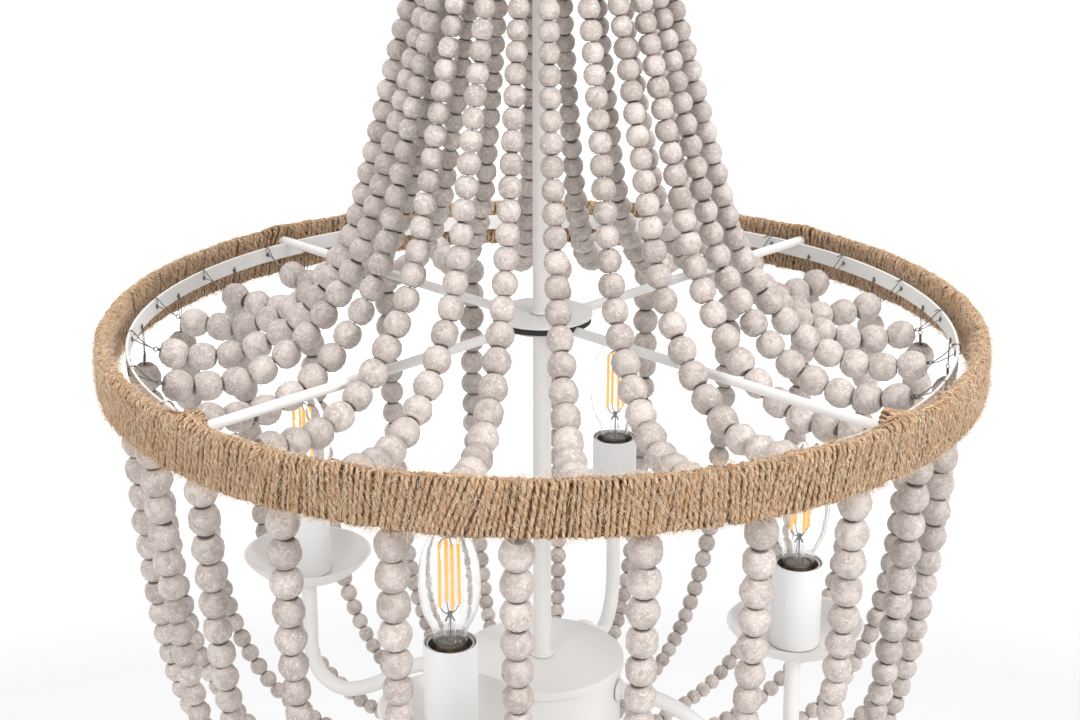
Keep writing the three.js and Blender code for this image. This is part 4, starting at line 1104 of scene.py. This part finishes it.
def spoke_frame():
    corners = ring_section(BORE, HUB_RADIUS, SPOKE_Z - SPOKE_RADIUS, SPOKE_Z + SPOKE_RADIUS)
    patches = [ring(corners, 0.8 * MM, 72)]
    for angle in spoke_angles():
        radii = np.linspace(HUB_RADIUS - 2 * MM, SPOKE_REACH, 12)
        line = out_from(angle) * radii[:, None] + UP * SPOKE_Z
        patches.append(tube(line, SPOKE_RADIUS, 24, UP))
    add_piece("spokes_and_hub", patches, PAINT, ["spoke_frame"])


def hub_gasket():
    """The rubber washer: a ring with its underside pressed up over each spoke, to a circle that clears it."""
    low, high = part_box("hub_gasket")
    section = rounded(ring_section(GASKET_INNER, high.x, low.z, high.z), 0.5 * MM)
    points = turned(section, 240)
    clear = SPOKE_RADIUS + 0.25 * MM
    highest = high.z - 0.15 * MM
    underside = high.z - 0.3 * MM
    for angle in spoke_angles():
        off = points @ aside_from(angle)
        ahead = points @ out_from(angle) > 0
        top = SPOKE_Z + np.sqrt(np.maximum(clear ** 2 - off ** 2, 0))
        lifted = np.minimum(np.maximum(points[..., 2], top), highest)
        near = ahead & (np.abs(off) < clear) & (points[..., 2] < underside)
        points[..., 2] = np.where(near, lifted, points[..., 2])
    add_piece("rubber_washer", [patch(points, wrap_rows=True)], RUBBER, ["hub_gasket"])


def centre_rod():
    """A tube with a collar over or under each piece that it carries."""
    low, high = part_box("centre_rod")
    collar_tops = [
        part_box("bottom_plate")[1].z + GAP + COLLAR_HEIGHT,
        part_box("box_lid")[1].z + GAP + COLLAR_HEIGHT,
        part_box("spoke_frame")[0].z - GAP,
        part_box("hub_cap")[1].z + GAP + COLLAR_HEIGHT,
        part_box("top_plate")[0].z - GAP,
    ]
    inner, collar = ROD_RADIUS - ROD_WALL, ROD_RADIUS + COLLAR_OUT
    corners = [(inner, low.z), (ROD_RADIUS, low.z)]
    for top in collar_tops:
        foot = top - COLLAR_HEIGHT
        corners += [(ROD_RADIUS, foot), (collar, foot), (collar, top), (ROD_RADIUS, top)]
    corners += [(ROD_RADIUS, high.z), (inner, high.z)]
    add_piece("rod_tube", [ring(corners, 0.35 * MM, 64)], PAINT, ["centre_rod"])


def bottom_knob():
    low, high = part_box("bottom_knob")
    outline = scaled_curve(KNOB_SHARES, (0, low.z), (KNOB_RADIUS, high.z - low.z), 6)
    socket = high.z - KNOB_SOCKET
    outline = np.vstack([outline, [(BORE, high.z), (BORE, socket), (0, socket)]])
    add_piece("knob", [patch(turned(outline, 48))], PAINT, ["bottom_knob"])


# Box and arms
BOX_RADIUS = 47.5 * MM
BOX_WALL = 1.5 * MM
ARM_RADIUS = 4.6 * MM
ARM_INSIDE_BOX = 6 * MM
ARM_DIP = 30 * MM
ARM_DROP_FROM_LID = 16 * MM
ARM_POINTS = 90
ARM_CURVE_SHARES = [
    (0.175, 0.03), (0.327, 0.18), (0.43, 0.37), (0.573, 0.73), (0.697, 0.93), (0.79, 1),
    (0.886, 0.9), (0.962, 0.63), (1, 0.2), (1, -0.3),
]
ARM_COLLAR_RADIUS = 6.6 * MM
ARM_COLLAR_THICKNESS = 2 * MM
ARM_NUT_RADIUS = 6.4 * MM
ARM_NUT_DEPTH = 3.2 * MM
FITTING_OVERLAP = 0.6 * MM


def arm_box():
    """The box and its lid, each a cup turned from its wall's section. The lid hangs over the box's wall."""
    low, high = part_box("arm_box")
    wall, floor = BOX_RADIUS - BOX_WALL, low.z + BOX_WALL
    corners = [
        (BORE, low.z), (BOX_RADIUS, low.z), (BOX_RADIUS, high.z), (wall, high.z), (wall, floor), (BORE, floor),
    ]
    easing = np.array([0.3, 2.5, 0.4, 0.4, 1.2, 0.3]) * MM
    add_piece("box_shell", [ring(corners, easing, 128, steps=6)], PAINT, ["arm_box"])
    low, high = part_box("box_lid")
    outer, inner, under = high.x, BOX_RADIUS + GAP, high.z - BOX_WALL
    corners = [(outer, low.z), (outer, high.z), (BORE, high.z), (BORE, under), (inner, under), (inner, low.z)]
    easing = np.array([0.4, 0.9, 0.3, 0.3, 0.4, 0.3]) * MM
    add_piece("lid", [ring(corners, easing, 128, steps=6)], PAINT, ["box_lid"])


def bent_arm(index):
    """A tube that leaves the box level, dips and rises under its pan, with a collar at the box's wall and a
    nut under the pan."""
    centre = middle_of(f"candle_sleeve_{index}")
    lamp_radius = math.hypot(centre.x, centre.y)
    angle = math.atan2(centre.x, -centre.y)
    exit_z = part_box("box_lid")[1].z - ARM_DROP_FROM_LID
    pan_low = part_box(f"drip_pan_{index}")[0].z
    reach = lamp_radius - BOX_RADIUS
    points = [(BOX_RADIUS - BOX_WALL - ARM_INSIDE_BOX, exit_z), (BOX_RADIUS, exit_z)]
    points += [(BOX_RADIUS + reach * out, exit_z - ARM_DIP * down) for out, down in ARM_CURVE_SHARES]
    points.append((lamp_radius, pan_low - GAP))
    flat = evenly(smooth_curve(points), ARM_POINTS)
    arm = tube(out_from(angle) * flat[:, :1] + UP * flat[:, 1:], ARM_RADIUS, 28, aside_from(angle))
    inner = ARM_RADIUS - FITTING_OVERLAP
    corners = ring_section(inner, ARM_COLLAR_RADIUS, GAP, GAP + ARM_COLLAR_THICKNESS)
    upright, faces = ring(corners, 0.5 * MM, 48)
    collar = aside_from(angle) * upright[:, :1] + UP * (exit_z + upright[:, 1:2])
    collar = collar + out_from(angle) * (BOX_RADIUS + upright[:, 2:])
    corners = ring_section(inner, ARM_NUT_RADIUS, pan_low - ARM_NUT_DEPTH, pan_low - GAP)
    nut = ring(corners, 0.5 * MM, 40, centre)
    add_piece(f"bent_arm_{index}", [arm, (collar, faces), nut], PAINT, [f"arm_{index}"])


# Lamps
PAN_WALL = 1.2 * MM
PAN_BASE = 19 * MM
PAN_HOLE = 4.0 * MM
PAN_SHARES = [(0.0, 0.0), (0.25, 0.07), (0.5, 0.24), (0.75, 0.55), (0.93, 0.86), (1.0, 1.0)]
SLEEVE_RADIUS = 14.35 * MM
SLEEVE_WALL = 0.9 * MM
HOLDER_RISE = 1.2 * MM
HOLDER_RADIUS = 12.6 * MM
HOLDER_LIP = 0.9 * MM
HOLDER_RIM_HEIGHT = 1.3 * MM
COLLAR_CLEARANCE = 0.1 * MM
COLLAR_REACH = 0.75 * MM
COLLAR_FOOT = 6 * MM


def drip_pan(index):
    """A spun dish: flat in the middle, with a swept flare up to its rim."""
    node = f"drip_pan_{index}"
    low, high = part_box(node)
    radius = (high.x - low.x) / 2
    flare = scaled_curve(PAN_SHARES, (PAN_BASE, low.z), (radius - PAN_BASE, high.z - low.z), 5)
    outside = np.vstack([[(PAN_HOLE, low.z), (PAN_BASE * 0.6, low.z)], flare])
    inside = inner_face(outside, PAN_WALL)
    inside[:, 1] = np.minimum(inside[:, 1], high.z)
    profile = np.vstack([outside, inside[::-1]])
    dish = patch(turned(profile, 96, middle_of(node)), wrap_rows=True)
    add_piece(f"dish_{index}", [dish], PAINT, [node], sharp=50)


def candle_sleeve(index):
    node = f"candle_sleeve_{index}"
    low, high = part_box(node)
    corners = ring_section(SLEEVE_RADIUS - SLEEVE_WALL, SLEEVE_RADIUS, low.z, high.z)
    add_piece(f"sleeve_{index}", [ring(corners, 0.35 * MM, 96, middle_of(node))], SLEEVE_WHITE, [node])


def lamp_holder(index):
    """The holder inside the sleeve: a thin cream rim with a black ring outside it, which lines the sleeve as
    painted shade on its inner wall, and in it a dark cup that slopes in to the bulb's neck."""
    node = f"lamp_holder_{index}"
    low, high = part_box(node)
    place = middle_of(node)
    top = high.z + HOLDER_RISE
    seat = top - HOLDER_RIM_HEIGHT
    mouth = HOLDER_RADIUS - HOLDER_LIP
    rim = ring(ring_section(mouth, HOLDER_RADIUS, seat, top), 0.3 * MM, 72, place)
    add_piece(f"holder_rim_{index}", [rim], CREAM_PLASTIC, [node])
    # A black ring just inside the sleeve's wall: painted shade for the sleeve's inner wall
    foot = low.z + COLLAR_FOOT
    inner, outer = HOLDER_RADIUS + COLLAR_CLEARANCE, HOLDER_RADIUS + COLLAR_REACH
    collar = ring(ring_section(inner, outer, foot, high.z - 0.5 * MM), 0.2 * MM, 72, place)
    add_piece(f"sleeve_shade_lining_{index}", [collar], SLEEVE_SHADE_LINING)
    outer, lip = HOLDER_RADIUS - COLLAR_CLEARANCE, seat - COLLAR_CLEARANCE
    floor, shelf = seat - 5 * MM, seat - 17 * MM
    corners = [
        (outer, low.z), (outer, lip), (mouth, lip), (9.9 * MM, floor), (9.9 * MM, shelf), (7.5 * MM, shelf),
        (7.5 * MM, foot), (3.9 * MM, foot), (3.9 * MM, low.z),
    ]
    add_piece(f"holder_cup_{index}", [ring(corners, 0.4 * MM, 64, place)], DARK_PLASTIC)


# Bulbs. Profiles are in millimetres as (radius, height above the glass's lower rim), the swell in shares
GLASS_WALL = 0.5 * MM
BULB_RADIUS = 16.3 * MM
BULB_HEIGHT = 74 * MM
BULB_NECK = [(8.9, -5), (8.9, -3)]
BULB_SHARES = [
    (0.55, 0.0), (0.56, 0.08), (0.6, 0.115), (0.73, 0.17), (0.87, 0.24), (0.965, 0.34), (1.0, 0.45),
    (0.965, 0.57), (0.86, 0.69), (0.68, 0.79), (0.44, 0.88), (0.22, 0.95), (0.1, 0.985),
]
STEM_TUBE = [(3.0, -0.2), (3.0, 10), (1.7, 13.4), (1.3, 13.1), (2.6, 9.8), (2.6, -0.2)]
STEM_ROD = [(0.0, 60), (0.8, 59.5), (0.5, 55.5), (0.5, 16), (0.0, 16)]
STEM_BEAD = [(0.0, 17.6), (1.2, 17.2), (1.3, 14.4), (0.0, 14)]
BASE_TOP = [(0.0, -0.4), (6.3, -0.4), (6.8, -0.9), (6.8, -5), (8.6, -5.4), (8.6, -9.6), (6.9, -13)]
BASE_FOOT = [(6.9, 2), (3.4, 0), (0.0, 0)]
KNOT_HEIGHT = 16 * MM
CROWN_HEIGHT = 59.5 * MM
FILAMENT_ANGLES = [20, 110, 200, 290]
FILAMENT_LOW = 20.8 * MM
FILAMENT_HIGH = 57 * MM
FILAMENT_RING = 5.4 * MM
FILAMENT_TAPER = 0.93
FILAMENT_RADIUS = 0.95 * MM
LEAD_RADIUS = 0.32 * MM
LEAD_LINES = [
    (0.4, [(0, 0, -0.5), (-1.3, 0, -1.8), (-2.3, 0, -4.2)], 4),
    (0.4, [(0, 0, -0.5), (1.3, 0, -1.8), (2.3, 0, -4.2)], 4),
    (0.38, [(0, 0, 0), (0.3, 0, -6), (0, 0, -16.2)], 6),
]


def above(base, table):
    """A profile given in millimetres as (radius, height above a base)."""
    return [(radius * MM, base + height * MM) for radius, height in table]


def bulb_glass(index, place, rim, top):
    """The blown shell with its thin wall, and the stem inside it."""
    swell = [(BULB_RADIUS * wide, rim + BULB_HEIGHT * tall) for wide, tall in BULB_SHARES]
    outside = smooth_curve(above(rim, BULB_NECK) + swell + [(0.0, top)], 6)
    inside = inner_face(outside, GLASS_WALL)
    inside[:, 0] = np.maximum(inside[:, 0], 0)
    inside[-1] = (0.0, top - GLASS_WALL * 2)
    shell = patch(turned(np.vstack([inside[::-1], outside]), 72, place))
    add_piece(f"bulb_glass_{index}", [shell], GLASS, [f"bulb_{index}"], f"lamp_{index}", sharp=60)
    stem = [
        patch(turned(above(rim, STEM_TUBE), 32, place), wrap_rows=True),
        patch(turned(above(rim, STEM_ROD), 12, place)),
    ]
    add_piece(f"bulb_stem_{index}", stem, GLASS, body=f"lamp_{index}", sharp=60)


def bulb_filaments(index, place, rim):
    """Four lit rods round the stem, their bent leads to the knot below and the crown above, and the leads
    down through the stem."""
    axis = np.array([place.x, place.y, rim])
    crown = axis + UP * CROWN_HEIGHT
    knot = axis + UP * KNOT_HEIGHT
    rods, leads = [], []
    for angle in np.radians(FILAMENT_ANGLES):
        foot = axis + out_from(angle) * FILAMENT_RING + UP * FILAMENT_LOW
        head = axis + out_from(angle) * FILAMENT_RING * FILAMENT_TAPER + UP * FILAMENT_HIGH
        rods.append(tube(np.linspace(foot, head, 4), FILAMENT_RADIUS, 12, out_from(angle) + 0.2 * UP))
        for end, anchor, sag in ((foot, knot, -1.4), (head, crown, 1.0)):
            line = smooth_curve([end, (end + anchor) / 2 + UP * sag * MM, anchor], 6)
            leads.append(tube(line, LEAD_RADIUS, 5, aside_from(angle)))
    for radius, steps, per_span in LEAD_LINES:
        line = smooth_curve(knot + np.array(steps) * MM, per_span)
        leads.append(tube(line, radius * MM, 6, np.array([0.1, 1.0, 0.0])))
    leads.append(patch(turned(above(rim, STEM_BEAD), 16, place)))
    add_piece(f"bulb_filaments_{index}", rods, FILAMENT, body=f"lamp_{index}")
    add_piece(f"bulb_leads_{index}", leads, LAMP_WIRE, body=f"lamp_{index}")


def bulb(index):
    """A clear candle bulb: a blown shell, a glass stem, leads, four lit filaments and a screw base."""
    low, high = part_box(f"bulb_{index}")
    place = middle_of(f"bulb_{index}")
    rim = high.z - BULB_HEIGHT
    bulb_glass(index, place, rim, high.z)
    bulb_filaments(index, place, rim)
    base = patch(turned(above(rim, BASE_TOP) + above(low.z, BASE_FOOT), 40, place))
    add_piece(f"bulb_base_{index}", [base], BROWN_PLASTIC, body=f"lamp_{index}")


# Ceiling end
LOOP_RADIUS = 11 * MM
LOOP_WIRE = 2 * MM
LOOP_COLLAR_RADIUS = 8 * MM
LOOP_COLLAR_HEIGHT = 10 * MM
LOOP_CORE = 0.2 * MM
STUD_OVERLAP = 1 * MM
UPPER_STUD_RADIUS = 5 * MM
LOWER_STUD_RADIUS = 3.6 * MM
LINK_HALF_WIDTH = 8 * MM
LINK_HALF_STRAIGHT = 12 * MM
CANOPY_WALL = 1.2 * MM
CANOPY_SHARES = [(0.09, 0.0), (0.45, 0.0), (0.7, 0.035), (0.85, 0.15), (0.93, 0.34), (0.97, 0.58), (1.0, 1.0)]


def canopy():
    """A spun cup that covers the ceiling box, open at the top, with a hole for the loop's stud."""
    low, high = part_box("canopy")
    outside = scaled_curve(CANOPY_SHARES, (0, low.z), (high.x, high.z - low.z), 8)
    inside = inner_face(outside, CANOPY_WALL)
    inside[:, 1] = np.minimum(inside[:, 1], high.z)
    cup = patch(turned(np.vstack([outside, inside[::-1]]), 96), wrap_rows=True)
    add_piece("canopy_cup", [cup], PAINT, ["canopy"], "ceiling_mount")


def wire_loop(name, node, body, middle_z, collar, stud, stud_radius):
    """A round loop of bar in the XZ plane, its collar, and the stud that goes into the next piece. Collar and
    stud are given as (low, high)."""
    turn = np.arange(48)[:, None] / 48 * TURN
    line = np.column_stack([LOOP_RADIUS * np.cos(turn), 0 * turn, middle_z + LOOP_RADIUS * np.sin(turn)])
    patches = [
        tube(line, LOOP_WIRE, 16, np.array([0.0, 1.0, 0.0]), closed=True),
        ring(ring_section(LOOP_CORE, LOOP_COLLAR_RADIUS, *collar), 1.2 * MM, 48, steps=6),
        ring(ring_section(LOOP_CORE, stud_radius, *stud), 0.5 * MM, 40),
    ]
    add_piece(name, patches, PAINT, [node], body)


def chain_link():
    """A long link in the YZ plane: half rounds joined by straight sides."""
    centre = middle_of("chain_link")
    turn = np.linspace(0, np.pi, 17)
    arc = np.column_stack([0 * turn, LINK_HALF_WIDTH * np.cos(turn), LINK_HALF_WIDTH * np.sin(turn)])
    top = arc + UP * (centre.z + LINK_HALF_STRAIGHT)
    bottom = arc * np.array([1, -1, -1]) + UP * (centre.z - LINK_HALF_STRAIGHT)
    link = tube(np.vstack([top, bottom]), LOOP_WIRE, 16, np.array([1.0, 0.0, 0.0]), closed=True)
    add_piece("link", [link], PAINT, ["chain_link"], "link")


def ceiling_end():
    """The canopy, the loop under it, the link and the loop on the rod, and plated steel on the bracket."""
    canopy()
    low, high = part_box("canopy_loop")
    collar_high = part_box("canopy")[0].z - GAP
    wire_loop("loop_under_canopy", "canopy_loop", "ceiling_mount", low.z + LOOP_RADIUS + LOOP_WIRE,
              (collar_high - LOOP_COLLAR_HEIGHT, collar_high), (collar_high - STUD_OVERLAP, high.z),
              UPPER_STUD_RADIUS)
    chain_link()
    low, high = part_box("fixture_loop")
    collar_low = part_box("centre_rod")[1].z + GAP
    wire_loop("loop_on_rod", "fixture_loop", "fixture", high.z - LOOP_RADIUS - LOOP_WIRE,
              (collar_low, collar_low + LOOP_COLLAR_HEIGHT), (low.z, collar_low + STUD_OVERLAP),
              LOWER_STUD_RADIUS)
    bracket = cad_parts["ceiling_bracket"]
    bracket.data.materials.clear()
    bracket.data.materials.append(ZINC)


# Floor and light. The floor glows from one distance to the next for the camera alone, to run into the white
FLOOR_DROP = 1.3
FLOOR_RADIUS = 20.0
FLOOR_COLOUR = "#E6E6E6"
GLOW_DISTANCES = (2.75, 3.9)
GLOW = 0.5
AMBIENT = 0.98
LIGHT_TARGET = np.array([0, 0, RING_Z - 0.05])

# Softboxes: name, place, size and power
SOFTBOXES = [
    ("key_softbox", (1.9, -1.5, 0.8), 0.8, 40),
    ("left_softbox", (-1.2, -2.2, 0.5), 0.9, 24),
    ("top_softbox", (0.1, 0.2, 1.9), 1.8, 19),
]


def seen_share(tree):
    """1 for rays from the camera and those that gloss or glass sends on, and 0 for rays that only light."""
    light_path = add_node(tree, "ShaderNodeLightPath")
    share = light_path.outputs["Is Camera Ray"]
    for kind in ("Is Glossy Ray", "Is Transmission Ray"):
        larger = add_node(tree, "ShaderNodeMath", {
            0: share, 1: light_path.outputs[kind]}, operation="MAXIMUM")
        share = larger.outputs["Value"]
    return share


def pale_floor():
    floor_z = RING_Z - FLOOR_DROP
    shape = patch(turned([(0.0, floor_z), (FLOOR_RADIUS * 0.3, floor_z), (FLOOR_RADIUS, floor_z)], 96))
    floor = bpy.data.objects.new("floor", make_mesh("floor", [shape]))
    bpy.context.scene.collection.objects.link(floor)
    material, tree, surface = new_material("pale_floor")
    feed(tree, surface, {"Base Color": srgb(FLOOR_COLOUR), "Roughness": 0.8})
    place = add_node(tree, "ShaderNodeTexCoord").outputs["Object"]
    distance = add_node(tree, "ShaderNodeVectorMath", {0: place}, operation="LENGTH").outputs["Value"]
    far = add_node(tree, "ShaderNodeMapRange", {
        "Value": distance, "From Min": GLOW_DISTANCES[0], "From Max": GLOW_DISTANCES[1], "To Max": GLOW})
    glow = add_node(tree, "ShaderNodeEmission", {"Strength": far.outputs["Result"]})
    both = add_node(tree, "ShaderNodeAddShader", {0: surface.outputs["BSDF"], 1: glow.outputs["Emission"]})
    mix = add_node(tree, "ShaderNodeMixShader", {
        "Fac": seen_share(tree), 1: surface.outputs["BSDF"], 2: both.outputs["Shader"]})
    feed(tree, tree.nodes["Material Output"], {"Surface": mix.outputs["Shader"]})
    floor.data.materials.append(material)


def studio():
    """A world that is plain white where it is seen and a little dimmer as a light, and three softboxes."""
    world = bpy.data.worlds.new("studio")
    bpy.context.scene.world = world
    world.use_nodes = True
    tree = world.node_tree
    strength = add_node(tree, "ShaderNodeMapRange", {
        "Value": seen_share(tree), "To Min": AMBIENT, "To Max": 1.0})
    feed(tree, tree.nodes["Background"], {"Strength": strength.outputs["Result"], "Color": (1, 1, 1, 1)})
    for name, place, size, power in SOFTBOXES:
        data = bpy.data.lights.new(name, "AREA")
        data.shape = "DISK"
        data.size = size
        data.energy = power
        lamp = bpy.data.objects.new(name, data)
        lamp.location = place
        heading = LIGHT_TARGET - np.array(place)
        pitch = math.acos(-heading[2] / np.linalg.norm(heading))
        lamp.rotation_euler = (pitch, 0, math.atan2(-heading[0], heading[1]))
        bpy.context.scene.collection.objects.link(lamp)


make_camera()
wind_ring()
for fibre_piece in range(FIBRE_PIECES):
    stray_fibres(f"jute_stray_fibres_{fibre_piece + 1}")
inner_band()
plates()
strands()
spoke_frame()
hub_gasket()
disc("cap", "hub_cap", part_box("hub_cap")[1].x, 0.5 * MM)
centre_rod()
bottom_knob()
arm_box()
for lamp_index in range(1, LAMP_COUNT + 1):
    bent_arm(lamp_index)
    drip_pan(lamp_index)
    candle_sleeve(lamp_index)
    lamp_holder(lamp_index)
    bulb(lamp_index)
ceiling_end()
pale_floor()
studio()
bpy.context.scene.view_settings.view_transform = "Standard"
